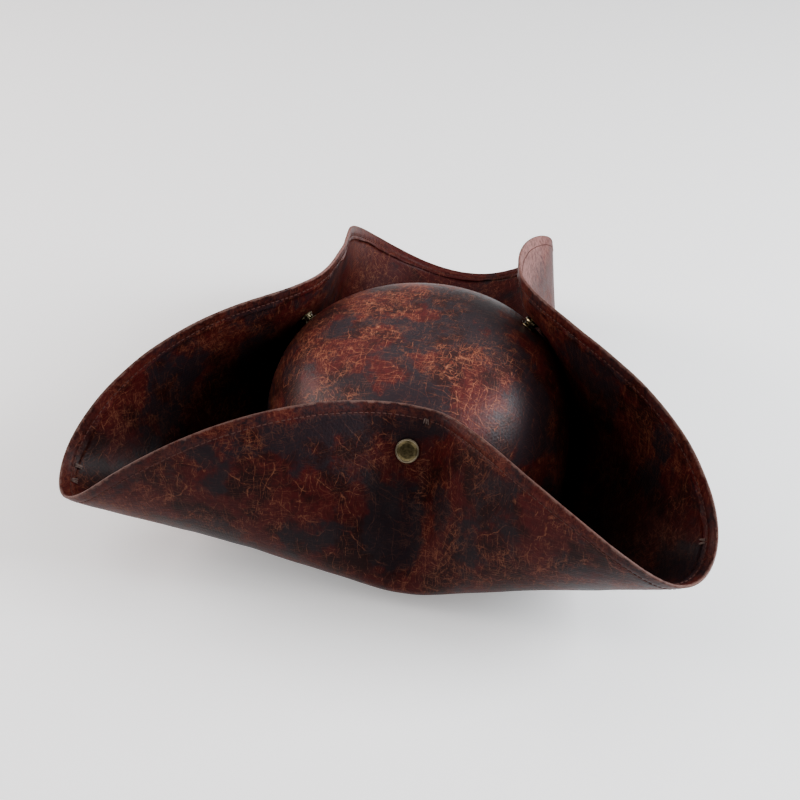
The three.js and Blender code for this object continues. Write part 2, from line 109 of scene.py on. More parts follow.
def length_of(vectors):
    return np.linalg.norm(vectors, axis=1)


# Crown surface


def crown_share(height, top):
    """How far out the dome reaches at a height, as a share of its foot."""
    share = np.clip(height / top, 0.0, 1.0)
    return (1.0 - share ** CROWN["roundness"]) ** (1.0 / CROWN["roundness"])


def crown_point(azimuth, height):
    share = crown_share(height, CROWN["height"])
    x = CROWN["half_width"] * share * math.cos(azimuth)
    y = CROWN["half_depth"] * share * math.sin(azimuth)
    return np.array([x, y, height])


def crown_normal(azimuth, height):
    step = 0.01
    around = crown_point(azimuth + step, height) - crown_point(azimuth - step, height)
    upward = crown_point(azimuth, height + step) - crown_point(azimuth, height - step)
    normal = np.cross(around, upward)
    return normal / np.linalg.norm(normal)


# Brim leather, laid flat as a grid of points


def point_at(segment, row):
    return (segment % SEGMENTS) * ROWS + row


def row_shares():
    """How far each row lies from the crown to the rim, as a share of the brim's width."""
    hem_start = 1.0 - BRIM["hem_width"] / BRIM["width"]
    return np.append(hem_start * np.arange(ROWS - 1) / (ROWS - 2), 1.0)


def oval_radius(azimuth, half_width, half_depth):
    across = np.hypot(half_depth * np.cos(azimuth), half_width * np.sin(azimuth))
    return half_width * half_depth / across


def inner_radius(azimuth):
    """How far the brim's inner oval lies from the crown's middle, in a direction."""
    return oval_radius(azimuth, CROWN["half_width"] + CLEARANCE, CROWN["half_depth"] + CLEARANCE)


def outer_radius(azimuth):
    """How far the brim's outer oval lies from the crown's middle, in a direction."""
    half_width = CROWN["half_width"] + BRIM["width"]
    half_depth = CROWN["half_depth"] + BRIM["width"] + BRIM["extra_depth"]
    x = np.cos(azimuth)
    y = np.sin(azimuth)
    a = (x / half_width) ** 2 + (y / half_depth) ** 2
    b = -y * BRIM["forward"] / half_depth ** 2
    c = (BRIM["forward"] / half_depth) ** 2 - 1.0
    return (b + np.sqrt(b * b - a * c)) / a


def flat_points(azimuth, shares):
    """The flat brim's points, for each azimuth and each share of the brim's width."""
    inner = inner_radius(azimuth)
    radius = inner[:, None] + (outer_radius(azimuth) - inner)[:, None] * shares[None, :]
    x = radius * np.cos(azimuth)[:, None]
    y = radius * np.sin(azimuth)[:, None]
    return np.stack([x, y, np.full_like(x, BRIM["foot_height"])], axis=-1)


def grid_triangles():
    triangles = []
    for segment in range(SEGMENTS):
        for row in range(ROWS - 1):
            a = point_at(segment, row)
            b = point_at(segment, row + 1)
            c = point_at(segment + 1, row + 1)
            d = point_at(segment + 1, row)
            if (segment + row) % 2:
                triangles += [(a, b, c), (a, c, d)]
            else:
                triangles += [(a, b, d), (b, c, d)]
    return triangles


def grid_edges():
    """Each edge of the grid, with the far corners of the triangles beside it."""
    edges = {}
    for corners in grid_triangles():
        for side in range(3):
            first = corners[side]
            second = corners[(side + 1) % 3]
            key = (min(first, second), max(first, second))
            edges.setdefault(key, []).append(corners[(side + 2) % 3])
    return edges


def crease_stiffness(middle):
    """Leather is softer along the crease of each flap."""
    azimuth = np.arctan2(middle[:, 1], middle[:, 0])
    from_crown = np.hypot(middle[:, 0], middle[:, 1])
    from_crown -= oval_radius(azimuth, CROWN["half_width"], CROWN["half_depth"])
    grown = (from_crown / BRIM["width"] - CREASE["start"]) / (CREASE["full"] - CREASE["start"])
    softness = CREASE["softness"] * np.clip(grown, 0.0, 1.0)
    stiffness = np.ones(len(middle))
    for flap in FLAPS:
        offset = azimuth - math.radians(flap["crease"])
        apart = np.arctan2(np.sin(offset), np.cos(offset)) / math.radians(CREASE_WIDTHS[flap["name"]])
        stiffness -= softness * np.exp(-apart ** 2)
    return np.maximum(stiffness, CREASE["softest"])


def cotangent(places, corner, a, b):
    to_a = places[a] - places[corner]
    to_b = places[b] - places[corner]
    return (to_a * to_b).sum(axis=1) / length_of(np.cross(to_a, to_b))


def triangle_area(places, a, b, c):
    return length_of(np.cross(places[b] - places[a], places[c] - places[a])) / 2.0


def bend_matrix(places, edges):
    """The matrix that turns places into the slope of the bending energy."""
    corners = np.array([(a, b, far[0], far[1]) for (a, b), far in edges.items() if len(far) == 2])
    a, b, c, d = corners.T
    at_ac = cotangent(places, a, b, c)
    at_bc = cotangent(places, b, a, c)
    at_ad = cotangent(places, a, b, d)
    at_bd = cotangent(places, b, a, d)
    area = triangle_area(places, a, b, c) + triangle_area(places, a, b, d)
    weights = np.stack([at_bc + at_bd, at_ac + at_ad, -at_ac - at_bc, -at_ad - at_bd], axis=1)
    softness = crease_stiffness((places[a] + places[b]) / 2.0)
    folds = np.zeros((len(corners), len(places)))
    np.put_along_axis(folds, corners, weights, axis=1)
    return (folds * (STIFFNESS["bend"] * softness * 3.0 / area)[:, None]).T @ folds


def leather_place(azimuth, inset):
    """A place on the leather, as shares of the grid points."""
    shares = row_shares()
    along = (azimuth / (2.0 * math.pi) * SEGMENTS) % SEGMENTS
    segment = int(along)
    share = 1.0 - inset / BRIM["width"]
    row = min(int(np.searchsorted(shares, share, side="right")) - 1, ROWS - 2)
    across = (share - shares[row]) / (shares[row + 1] - shares[row])
    turned = along - segment
    held = np.zeros(SEGMENTS * ROWS)
    held[point_at(segment, row)] += (1.0 - turned) * (1.0 - across)
    held[point_at(segment, row + 1)] += (1.0 - turned) * across
    held[point_at(segment + 1, row)] += turned * (1.0 - across)
    held[point_at(segment + 1, row + 1)] += turned * across
    return held


def snap_holds():
    """Each snap holds one place of the flap at the crown, and four around it level with the crown."""
    holds = []
    for flap in FLAPS:
        azimuth = math.radians(flap["azimuth"])
        normal = crown_normal(azimuth, flap["height"])
        target = crown_point(azimuth, flap["height"]) + normal * FLAP_LIFT
        on_brim = math.radians(flap["on_brim"])
        middle = leather_place(on_brim, flap["inset"])
        for axis in np.eye(3):
            holds.append((middle, target @ axis, axis, STIFFNESS["snap"]))
        turn = SNAP_SEAT_RADIUS / (CROWN["half_depth"] + BRIM["width"] - flap["inset"])
        around = (
            leather_place(on_brim + turn, flap["inset"]),
            leather_place(on_brim - turn, flap["inset"]),
            leather_place(on_brim, flap["inset"] + SNAP_SEAT_RADIUS),
            leather_place(on_brim, flap["inset"] - SNAP_SEAT_RADIUS),
        )
        for place in around:
            holds.append((place, target @ normal, normal, STIFFNESS["tilt"]))
    return [np.array(column) for column in zip(*holds)]


def folded_guess(places):
    """First guess: the part of the ring beyond each flap's fold line is turned up."""
    guess = places.copy()
    for flap in FLAPS:
        azimuth = math.radians(flap["azimuth"])
        outward = places[:, 0] * math.cos(azimuth) + places[:, 1] * math.sin(azimuth)
        beyond = outward - FOLD_DISTANCE
        lifted = BRIM["foot_height"] + beyond * math.sin(FOLD_ANGLE)
        back = beyond * (1.0 - math.cos(FOLD_ANGLE))
        turned = (beyond > 0) & (lifted > guess[:, 2])
        guess[turned, 0] = (places[:, 0] - back * math.cos(azimuth))[turned]
        guess[turned, 1] = (places[:, 1] - back * math.sin(azimuth))[turned]
        guess[turned, 2] = lifted[turned]
    return guess


def stretch_energy(places, first, second, rest):
    across = places[first] - places[second]
    length = np.sqrt((across * across).sum(axis=1))
    strain = (length - rest) / rest
    energy = 0.5 * STIFFNESS["stretch"] * (strain * strain * rest).sum()
    pull = (STIFFNESS["stretch"] * strain / length)[:, None] * across
    count = len(places)
    slope = np.empty_like(places)
    for axis in range(3):
        slope[:, axis] = np.bincount(first, pull[:, axis], count)
        slope[:, axis] -= np.bincount(second, pull[:, axis], count)
    return energy, slope


def hold_energy(places, holds):
    held, aim, axes, stiffness = holds
    away = ((held @ places) * axes).sum(axis=1) - aim
    energy = 0.5 * (stiffness * away * away).sum()
    return energy, held.T @ ((stiffness * away)[:, None] * axes)


def contact_energy(places, fixed):
    """The floor pushes up what sinks into it, and the crown pushes out what comes too near."""
    half_width = CROWN["half_width"] + CROWN_CLEARANCE
    half_depth = CROWN["half_depth"] + CROWN_CLEARANCE
    top = CROWN["height"] + CROWN_CLEARANCE
    scale = (half_width + half_depth) / 2.0
    slope = np.zeros_like(places)
    sunk = np.minimum(places[:, 2] - FLOOR_HEIGHT, 0.0)
    slope[:, 2] = STIFFNESS["contact"] * sunk
    share = np.hypot(places[:, 0] / half_width, places[:, 1] / half_depth)
    near = ~fixed & (places[:, 2] < top)
    depth = np.minimum(share - crown_share(places[:, 2], top), 0.0)
    inside = np.where(near, depth, 0.0) * scale
    push = STIFFNESS["contact"] * inside * scale / share
    slope[:, 0] += push * places[:, 0] / half_width ** 2
    slope[:, 1] += push * places[:, 1] / half_depth ** 2
    return 0.5 * STIFFNESS["contact"] * ((sunk * sunk).sum() + (inside * inside).sum()), slope


def downhill(slope, memory):
    """The direction of the next step, from the slope and the last steps with their changes of slope."""
    direction = -slope
    shares = []
    for move, change, gain in reversed(memory):
        share = (move * direction).sum() / gain
        direction = direction - share * change
        shares.append(share)
    if memory:
        move, change, gain = memory[-1]
        direction = direction * (gain / (change * change).sum())
    for (move, change, gain), share in zip(memory, reversed(shares)):
        direction = direction + (share - (change * direction).sum() / gain) * move
    return direction


def relax(places, energy_of):
    """The places with the least energy, by steps downhill that heed how the slope has changed."""
    energy, slope = energy_of(places)
    memory = []
    for count in range(RELAX_STEPS):
        direction = downhill(slope, memory)
        steepness = (direction * slope).sum()
        step = 1.0 if memory else 1.0 / math.sqrt(-steepness)
        while step > SHORTEST_STEP:
            following = places + step * direction
            new_energy, new_slope = energy_of(following)
            if new_energy <= energy + SUFFICIENT_DROP * step * steepness:
                break
            step /= 2.0
        if not new_energy < energy:
            break
        move = following - places
        change = new_slope - slope
        gain = (move * change).sum()
        if gain > 0:
            memory = (memory + [(move, change, gain)])[-RELAX_MEMORY:]
        places = following
        slope = new_slope
        energy = new_energy
    return places


def bent_brim():
    """The brim's middle surface after it is bent up and snapped: one point for each segment and row."""
    flat = flat_points(circle(SEGMENTS), row_shares()).reshape(-1, 3)
    edges = grid_edges()
    first, second = np.array(list(edges)).T
    rest = length_of(flat[first] - flat[second])
    bend = bend_matrix(flat, edges)
    holds = snap_holds()
    fixed = np.arange(len(flat)) % ROWS == 0

    def energy_of(places):
        energy, slope = stretch_energy(places, first, second, rest)
        bent = bend @ places
        energy += 0.5 * (places * bent).sum()
        slope += bent
        for part_energy, part_slope in (hold_energy(places, holds), contact_energy(places, fixed)):
            energy += part_energy
            slope += part_slope
        slope[fixed] = 0.0
        return energy, slope

    return relax(folded_guess(flat), energy_of).reshape(SEGMENTS, ROWS, 3)


def snap_distance(flap, flat_x, flat_y):
    """How far places on the flat leather are from a snap."""
    azimuth = math.radians(flap["on_brim"])
    radius = outer_radius(np.array([azimuth]))[0] - flap["inset"]
    return np.hypot(flat_x - radius * math.cos(azimuth), flat_y - radius * math.sin(azimuth))


def near_azimuth(ease):
    """One at the azimuth that an easing is for, and less and less away from it, for each segment."""
    turned = (np.degrees(circle(SEGMENTS)) - ease["azimuth"]) / ease["width"]
    return np.exp(-turned ** 2)[:, None]


def eased_along(grid, ease, share):
    """The grid with each point moved towards the middle of its neighbours along the brim."""
    for _ in range(ease["passes"]):
        between = (np.roll(grid, 1, axis=0) + np.roll(grid, -1, axis=0)) / 2.0
        grid = grid + (between - grid) * (ease["amount"] * share)[:, :, None]
    return grid


def eased(grid):
    """The grid with sharp turns rounded off, except around the snaps."""
    flat = flat_points(circle(SEGMENTS), row_shares())
    rows = np.arange(ROWS)
    free = smooth_step(rows / EASE["rows"])[None, :] * np.ones((SEGMENTS, 1))
    for flap in FLAPS:
        away = snap_distance(flap, flat[:, :, 0], flat[:, :, 1])
        free *= smooth_step((away - EASE["near"]) / (EASE["far"] - EASE["near"]))
    grid = eased_along(grid, EASE, free)
    outward = smooth_step((rows - PEAK_EASE["first_row"]) / PEAK_EASE["rows"])
    grid = eased_along(grid, PEAK_EASE, near_azimuth(PEAK_EASE) * outward[None, :])
    near_crease = (free * near_azimuth(CREASE_EASE))[:, 1:-1]
    for _ in range(CREASE_EASE["passes"]):
        between = (np.roll(grid, 1, axis=0) + np.roll(grid, -1, axis=0))[:, 1:-1]
        between = (between + grid[:, 2:] + grid[:, :-2]) / 4.0
        inner = grid[:, 1:-1]
        inner = inner + (between - inner) * (CREASE_EASE["amount"] * near_crease)[:, :, None]
        grid = np.concatenate([grid[:, :1], inner, grid[:, -1:]], axis=1)
    return grid


# Smooth curves through the grid


def spline_bends(knots, values, closed):
    """Second derivatives at the knots of a natural or closed cubic spline."""
    count = len(values)
    matrix = np.eye(count)
    right = np.zeros((count, values.shape[1]))
    for index in range(count):
        if not closed and index in (0, count - 1):
            continue
        before = index - 1
        after = (index + 1) % count
        step_in = 1.0 if closed else knots[index] - knots[before]
        step_out = 1.0 if closed else knots[after] - knots[index]
        matrix[index, index] = (step_in + step_out) / 3.0
        matrix[index, before] = step_in / 6.0
        matrix[index, after] = step_out / 6.0
        slope_out = (values[after] - values[index]) / step_out
        slope_in = (values[index] - values[before]) / step_in
        right[index] = slope_out - slope_in
    return np.linalg.solve(matrix, right)


def spline_between(before, after, bend_before, bend_after, share, step):
    """Points a share of the way between knots, from the values and second derivatives at the knots."""
    rest = 1.0 - share
    bent = (rest ** 3 - rest) * bend_before + (share ** 3 - share) * bend_after
    return rest * before + share * after + bent * step ** 2 / 6.0


def spline_at(knots, values, places, closed):
    """Points on a smooth curve through the values, along their first axis."""
    flat = values.reshape(len(values), -1)
    bends = spline_bends(knots, flat, closed)
    if closed:
        index = np.floor(places).astype(int) % len(values)
        share = (places - np.floor(places))[:, None]
        step = np.ones((len(places), 1))
        after = (index + 1) % len(values)
    else:
        index = np.clip(np.searchsorted(knots, places, side="right") - 1, 0, len(values) - 2)
        after = index + 1
        step = (knots[after] - knots[index])[:, None]
        share = (places[:, None] - knots[index][:, None]) / step
    result = spline_between(flat[index], flat[after], bends[index], bends[after], share, step)
    return result.reshape((len(places),) + values.shape[1:])


# The fine brim

AROUND = 560
LEATHER_ROWS = 62
RAW_EDGE_ROWS = 5
HEM_ROWS = 12
RIM_ROWS = 8
RIM_BULGE = 1.0
RAW_EDGE = {"inset": 9.0, "wave": 1.0, "slope": 0.5, "steep": 1.15, "height": 0.7}
RIM_TAPER = {"share": 0.3, "inset": 3.5}
FAR_FROM_RAW_EDGE = 50.0

# The raw edge lifts off the leather in places, in waves of these lengths.
RAW_EDGE_LIFT = {"height": 0.9, "level": 0.3, "waves": (9.5, 13.0, 23.0, 31.0, 44.0), "seed": 9}

# The raw edge also wavers: how often around the brim, by what share and from where.
RAW_EDGE_WAVERS = (
    {"turns": 11, "size": 0.5, "phase": 0.4},
    {"turns": 23, "size": 0.35, "phase": 2.1},
    {"turns": 47, "size": 0.25, "phase": 4.0},
)

# Gentle waves in the leather. They start this far from the crown, and end this near to a snap.
RELIEF = (
    {"height": 0.36, "waves": (34.0, 41.0, 53.0, 67.0, 29.0, 47.0), "seed": 5},
    {"height": 0.09, "waves": (17.0, 22.0, 19.0, 25.0), "seed": 6},
)
RELIEF_START = {"from": 8.0, "over": 20.0}
RELIEF_SNAP = {"from": 7.0, "over": 9.0}

# At the crown's foot the leather stands level over this width, and is pressed this much to the crown,
# so that no light comes through.
FOOT_WIDTH = 4.0
FOOT_PRESS = 0.5
LOOKUP_STEP = 0.002

# Painted shade: the inner face's colour darkens towards the crown, where the brim's trough lies in shade,
# between these distances from the rim, and less at the rear.
TROUGH_SHADE = {"from": 8.0, "to": 85.0, "power": 0.7, "rear": 0.30, "front": 0.35, "blend": 0.9}

# Painted sheen: the outer face is painted pale pink where the rear flaps stand highest, from these heights
# and depths on.
SHEEN_TIP = {"from": 74.0, "over": 34.0, "behind": 0.0, "blend": 60.0}
STITCH = {"inset": 5.6, "pitch": 3.4, "length": 2.5, "radius": 0.32, "raised": 0.35}
GROOVE = {"depth": 0.28, "width": 0.9, "below": 0.7}


def smooth_step(value):
    held = np.clip(value, 0.0, 1.0)
    return held * held * (3.0 - 2.0 * held)


def wave_sum(x, y, wavelengths, seed):
    """A smooth, gentle unevenness: a sum of a few plane waves of these lengths."""
    chance = np.random.default_rng(seed)
    total = np.zeros_like(x)
    for wavelength in wavelengths:
        heading = chance.uniform(0.0, 2.0 * math.pi)
        phase = chance.uniform(0.0, 2.0 * math.pi)
        along = x * math.cos(heading) + y * math.sin(heading)
        total += np.sin(2.0 * math.pi * along / wavelength + phase)
    return total / len(wavelengths)


def raw_edge_inset(rim_length):
    """How far the turned-over leather's raw edge is from the rim, as it wavers along the brim."""
    around = np.zeros_like(rim_length)
    for waver in RAW_EDGE_WAVERS:
        along = 2.0 * math.pi * waver["turns"] * rim_length / rim_length[-1]
        around += waver["size"] * np.sin(along + waver["phase"])
    return RAW_EDGE["inset"] + RAW_EDGE["wave"] * around


def groove(inset):
    """The dent that the stitching pulls into the hem."""
    return -GROOVE["depth"] * np.exp(-((inset - STITCH["inset"]) / GROOVE["width"]) ** 2)


def rim_taper(inset):
    """The folded leather is pressed thinner towards the rim."""
    return 1.0 - RIM_TAPER["share"] * (1.0 - smooth_step(inset / RIM_TAPER["inset"]))


def section():
    """The brim's cross-section from the crown along the upper face, round the rim, and back.

    Each entry is a kind of row and a share of the way through that kind, or of the way to the crown.
    """
    rows = [("upper", index / LEATHER_ROWS) for index in range(LEATHER_ROWS)]
    rows += [("raw", index / (RAW_EDGE_ROWS - 1)) for index in range(RAW_EDGE_ROWS)]
    rows += [("hem", index / HEM_ROWS) for index in range(1, HEM_ROWS + 1)]
    rows += [("rim", index / RIM_ROWS) for index in range(1, RIM_ROWS)]
    rows += [("under_hem", index / HEM_ROWS) for index in range(HEM_ROWS, -1, -1)]
    rows += [("lower", index / LEATHER_ROWS) for index in range(LEATHER_ROWS - 1, -1, -1)]
    return rows


class Brim:
    """The bent brim as a smooth surface, in millimetres with the crown's middle at the origin."""

    def __init__(self, grid):
        self.knots = row_shares()
        self.azimuth = circle(AROUND)
        columns = spline_at(np.arange(SEGMENTS), grid, SEGMENTS * np.arange(AROUND) / AROUND, True)
        self.values = np.swapaxes(columns, 0, 1)
        bends = spline_bends(self.knots, self.values.reshape(ROWS, -1), False)
        self.bends = bends.reshape(ROWS, AROUND, 3)
        rim = columns[:, -1]
        steps = length_of(np.roll(rim, -1, axis=0) - rim)
        self.rim_length = np.concatenate([[0.0], np.cumsum(steps)])
        self.inner = inner_radius(self.azimuth)
        self.width = outer_radius(self.azimuth) - self.inner

    def points(self, shares):
        """Middle-surface points, and the upward and outward directions there, for one share a column."""
        here = self.lookup(shares)
        outward = self.lookup(shares + LOOKUP_STEP) - self.lookup(shares - LOOKUP_STEP)
        around = np.roll(here, -1, axis=0) - np.roll(here, 1, axis=0)
        outward /= length_of(outward)[:, None]
        upward = np.cross(outward, around)
        upward /= length_of(upward)[:, None]
        return here, upward, outward

    def lookup(self, shares):
        held = np.clip(shares, 0.0, 1.0)
        column = np.arange(AROUND)
        index = np.clip(np.searchsorted(self.knots, held, side="right") - 1, 0, ROWS - 2)
        step = (self.knots[index + 1] - self.knots[index])[:, None]
        share = (held[:, None] - self.knots[index][:, None]) / step
        before = (index, column)
        after = (index + 1, column)
        values = self.values
        bends = self.bends
        return spline_between(values[before], values[after], bends[before], bends[after], share, step)


def leather_relief(flat_x, flat_y, from_crown):
    """Gentle waves in the leather, in millimetres, which leave the crown's foot and the snaps alone."""
    waves = np.zeros_like(flat_x)
    for layer in RELIEF:
        waves += layer["height"] * wave_sum(flat_x, flat_y, layer["waves"], layer["seed"])
    waves *= smooth_step((from_crown - RELIEF_START["from"]) / RELIEF_START["over"])
    for flap in FLAPS:
        away = snap_distance(flap, flat_x, flat_y)
        waves *= smooth_step((away - RELIEF_SNAP["from"]) / RELIEF_SNAP["over"])
    return waves


def section_row(bent, kind, amount, raw_inset, lift):
    """How far one row of the section is from the rim, how high on the leather, and how far beyond the rim."""
    half = BRIM["leather"] / 2.0
    hem_top = half + RAW_EDGE["height"]
    hem_start = raw_inset - RAW_EDGE["slope"]
    beyond = 0.0
    if kind == "raw":
        inset = raw_inset - RAW_EDGE["slope"] * amount
        height = half + (RAW_EDGE["height"] + lift) * smooth_step(amount * RAW_EDGE["steep"])
    elif kind == "hem":
        inset = hem_start * (1.0 - amount)
        held_down = smooth_step((inset - STITCH["inset"]) / (hem_start - STITCH["inset"]))
        height = (hem_top + groove(inset) + lift * held_down) * rim_taper(inset)
    elif kind == "rim":
        inset = np.zeros(AROUND)
        angle = math.pi * amount
        height = (hem_top - half) / 2.0 + (hem_top + half) / 2.0 * math.cos(angle)
        height *= rim_taper(0.0)
        beyond = RIM_BULGE * math.sin(angle)
    elif kind == "under_hem":
        inset = raw_inset * (1.0 - amount)
        height = (-half - groove(inset) * GROOVE["below"]) * rim_taper(inset)
    else:
        inset = bent.width - (bent.width - raw_inset) * amount
        height = half if kind == "upper" else -half
    return inset, height, beyond


def brim_rings(bent, raw_inset):
    """The section's rows of points, each with its distance from the rim."""
    waves = wave_sum(bent.rim_length[:-1], raw_inset, RAW_EDGE_LIFT["waves"], RAW_EDGE_LIFT["seed"])
    lift = RAW_EDGE_LIFT["height"] * smooth_step(waves + RAW_EDGE_LIFT["level"])
    rings = []
    for kind, amount in section():
        inset, height, beyond = section_row(bent, kind, amount, raw_inset, lift)
        rings.append((kind, ring_of(bent, inset, height, beyond), inset - beyond))
    return rings


def ring_of(bent, inset, height, beyond=0.0):
    """The points around the brim at a distance from the rim and a height over the leather's middle."""
    shares = 1.0 - inset / bent.width
    from_crown = shares * bent.width
    middle, upward, outward = bent.points(shares)
    radius = bent.inner + from_crown
    flat_x = radius * np.cos(bent.azimuth)
    flat_y = radius * np.sin(bent.azimuth)
    bending = smooth_step(from_crown / FOOT_WIDTH)[:, None]
    direction = upward * bending + np.array([0.0, 0.0, 1.0]) * (1.0 - bending)
    direction /= length_of(direction)[:, None]
    relief = leather_relief(flat_x, flat_y, from_crown)
    places = middle + direction * (height + relief)[:, None] + outward * beyond
    places[:, :2] -= places[:, :2] / radius[:, None] * (FOOT_PRESS * (1.0 - bending))
    return places


# Mesh building


def place_in_frame(points, origin):
    return points * MM + np.array(origin)


def mesh_object(name, vertices, faces, smooth=True):
    mesh = bpy.data.meshes.new(name)
    mesh.from_pydata([tuple(v) for v in vertices], [], faces)
    mesh.validate()
    mesh.polygons.foreach_set("use_smooth", [smooth] * len(mesh.polygons))
    mesh.update()
    piece = bpy.data.objects.new(name, mesh)
    bpy.context.scene.collection.objects.link(piece)
    return piece


def add_float(piece, name, values):
    layer = piece.data.attributes.new(name, "FLOAT", "POINT")
    layer.data.foreach_set("value", np.asarray(values, dtype=np.float32))


def tube_faces(rings, count, closed=False):
    """Faces between rings of points, each ring closed, and the last joined to the first if closed."""
    faces = []
    for ring in range(rings if closed else rings - 1):
        after = (ring + 1) % rings
        for index in range(count):
            following = (index + 1) % count
            a = ring * count + index
            b = ring * count + following
            c = after * count + following
            d = after * count + index
            faces.append((a, b, c, d))
    return faces


def capped_faces(rings, count):
    """Faces between rings of points, and from the first and last ring to the two tips listed after them."""
    faces = tube_faces(rings, count)
    last = (rings - 1) * count
    tip = rings * count
    for index in range(count):
        following = (index + 1) % count
        faces.append((following, index, tip))
        faces.append((last + index, last + following, tip + 1))
    return faces


def brim(bent, origin):
    raw_inset = raw_edge_inset(bent.rim_length)[:-1]
    rings = brim_rings(bent, raw_inset)
    vertices = np.concatenate([places for _, places, _ in rings])
    faces = tube_faces(len(rings), AROUND, closed=True)
    piece = mesh_object("brim_leather", place_in_frame(vertices, origin), faces)
    # How strongly the painted shade darkens the inner face at each azimuth: less at the rear.
    at_front = smooth_step((TROUGH_SHADE["front"] - np.sin(bent.azimuth)) / TROUGH_SHADE["blend"])
    shade_by_azimuth = TROUGH_SHADE["rear"] + (1.0 - TROUGH_SHADE["rear"]) * at_front
    from_rim = []
    from_raw = []
    depth = []
    outer_face = []
    for kind, _, inset in rings:
        upper = kind in ("upper", "raw", "hem")
        crown_side = np.clip((inset - TROUGH_SHADE["from"]) / (TROUGH_SHADE["to"] - TROUGH_SHADE["from"]), 0.0, 1.0)
        from_rim.append(inset)
        from_raw.append(inset - raw_inset if upper else np.full(AROUND, FAR_FROM_RAW_EDGE))
        depth.append(crown_side ** TROUGH_SHADE["power"] * shade_by_azimuth * float(kind == "upper"))
        outer_face.append(np.full(AROUND, float(not upper)))
    # Where the painted sheen goes: high on the outer face, towards the rear.
    high = smooth_step((vertices[:, 2] - SHEEN_TIP["from"]) / SHEEN_TIP["over"])
    behind = smooth_step((vertices[:, 1] - SHEEN_TIP["behind"]) / SHEEN_TIP["blend"])
    add_float(piece, "from_rim", np.concatenate(from_rim) * MM)
    add_float(piece, "from_raw_edge", np.concatenate(from_raw) * MM)
    # The depth attribute carries the painted shade on the inner face towards the crown.
    add_float(piece, "depth", np.concatenate(depth))
    add_float(piece, "sheen_tip", np.concatenate(outer_face) * high * behind)
    return piece


# A thread's rounded form: shares of its length, and its radius there as a share.
THREAD_FORM = ((0.0, 0.35), (0.10, 0.85), (0.28, 1.0), (0.72, 1.0), (0.90, 0.85), (1.0, 0.35))
THREAD_SIDES = 7
NEARLY_UPRIGHT = 0.2
STITCH_CHANCE = {"shift": 0.06, "half_length": (0.46, 0.53), "radius": (0.9, 1.1)}
STITCH_SEEDS = {True: 11, False: 12}


def add_thread(vertices, faces, start, end, radius):
    """Adds a short thread from start to end, with rounded ends."""
    start = np.array(start)
    axis = np.array(end) - start
    length = np.linalg.norm(axis)
    axis = axis / length
    side = np.cross(axis, np.array([0.0, 0.0, 1.0]))
    if np.linalg.norm(side) < NEARLY_UPRIGHT:
        side = np.cross(axis, np.array([1.0, 0.0, 0.0]))
    side /= np.linalg.norm(side)
    other = np.cross(axis, side)
    offset = len(vertices)
    for share, size in THREAD_FORM:
        for angle in circle(THREAD_SIDES):
            outward = side * math.cos(angle) + other * math.sin(angle)
            vertices.append(start + axis * (length * share) + outward * (radius * size))
    for face in tube_faces(len(THREAD_FORM), THREAD_SIDES):
        faces.append(tuple(corner + offset for corner in face))
    last = len(vertices) - THREAD_SIDES
    faces.append(tuple(range(offset + THREAD_SIDES - 1, offset - 1, -1)))
    faces.append(tuple(range(last, last + THREAD_SIDES)))


def point_along(at, marks, points):
    return [np.interp(at, marks, points[:, axis]) for axis in range(3)]


def stitch_row(bent, origin, name, upper):
    """One row of stitches in the hem's groove, on the upper or the lower face."""
    half = BRIM["leather"] / 2.0
    raised = STITCH["radius"] * STITCH["raised"]
    if upper:
        height = half + RAW_EDGE["height"] - GROOVE["depth"] + raised
    else:
        height = -half + GROOVE["depth"] * GROOVE["below"] - raised
    places = ring_of(bent, np.full(AROUND, STITCH["inset"]), height)
    path = np.concatenate([places, places[:1]])
    length = np.concatenate([[0.0], np.cumsum(length_of(path[1:] - path[:-1]))])
    count = int(length[-1] / STITCH["pitch"])
    shift = STITCH_CHANCE["shift"]
    chance = np.random.default_rng(STITCH_SEEDS[upper])
    vertices = []
    faces = []
    for index in range(count):
        middle = (index + 0.5 + chance.uniform(-shift, shift)) * length[-1] / count
        half_length = STITCH["length"] * chance.uniform(*STITCH_CHANCE["half_length"])
        start = point_along(middle - half_length, length, path)
        end = point_along(middle + half_length, length, path)
        add_thread(vertices, faces, start, end, STITCH["radius"] * chance.uniform(*STITCH_CHANCE["radius"]))
    return mesh_object(name, place_in_frame(np.array(vertices), origin), faces)


# Where a few tacking threads cross the hem: an azimuth, a span of distances from the rim and a face.
TACKS = (
    {"azimuth": 210.6, "from": 6.5, "to": 11.5, "upper": True, "count": 3},
    {"azimuth": 213.6, "from": 6.0, "to": 10.0, "upper": True, "count": 3},
    {"azimuth": 330.0, "from": 6.5, "to": 11.0, "upper": True, "count": 4},
    {"azimuth": 274.4, "from": 4.6, "to": 7.8, "upper": False, "count": 3},
)
TACK = {"spacing": 0.8, "radius": 0.35, "sunk": 0.6, "slant": 0.8, "seed": 21}


def tacks(bent, origin):
    half = BRIM["leather"] / 2.0
    top = half + RAW_EDGE["height"] + TACK["radius"]
    bottom = -half - TACK["radius"] * TACK["sunk"]
    columns = np.arange(AROUND)
    chance = np.random.default_rng(TACK["seed"])
    vertices = []
    faces = []
    for tack in TACKS:
        height = top if tack["upper"] else bottom
        near, far = [ring_of(bent, np.full(AROUND, tack[end]), height) for end in ("from", "to")]
        column = tack["azimuth"] / 360.0 * AROUND
        spacing = np.linalg.norm(near[int(column) + 1] - near[int(column)])
        for index in range(tack["count"]):
            place = column + (index - tack["count"] / 2.0) * TACK["spacing"] / spacing
            crossing = place + chance.uniform(-TACK["slant"], TACK["slant"]) / spacing
            start = point_along(place, columns, near)
            add_thread(vertices, faces, start, point_along(crossing, columns, far), TACK["radius"])
    return mesh_object("hem_tacks", place_in_frame(np.array(vertices), origin), faces)


# Crown

CROWN_AROUND = 300
CROWN_UP = 84
CROWN_RISE = 150.0

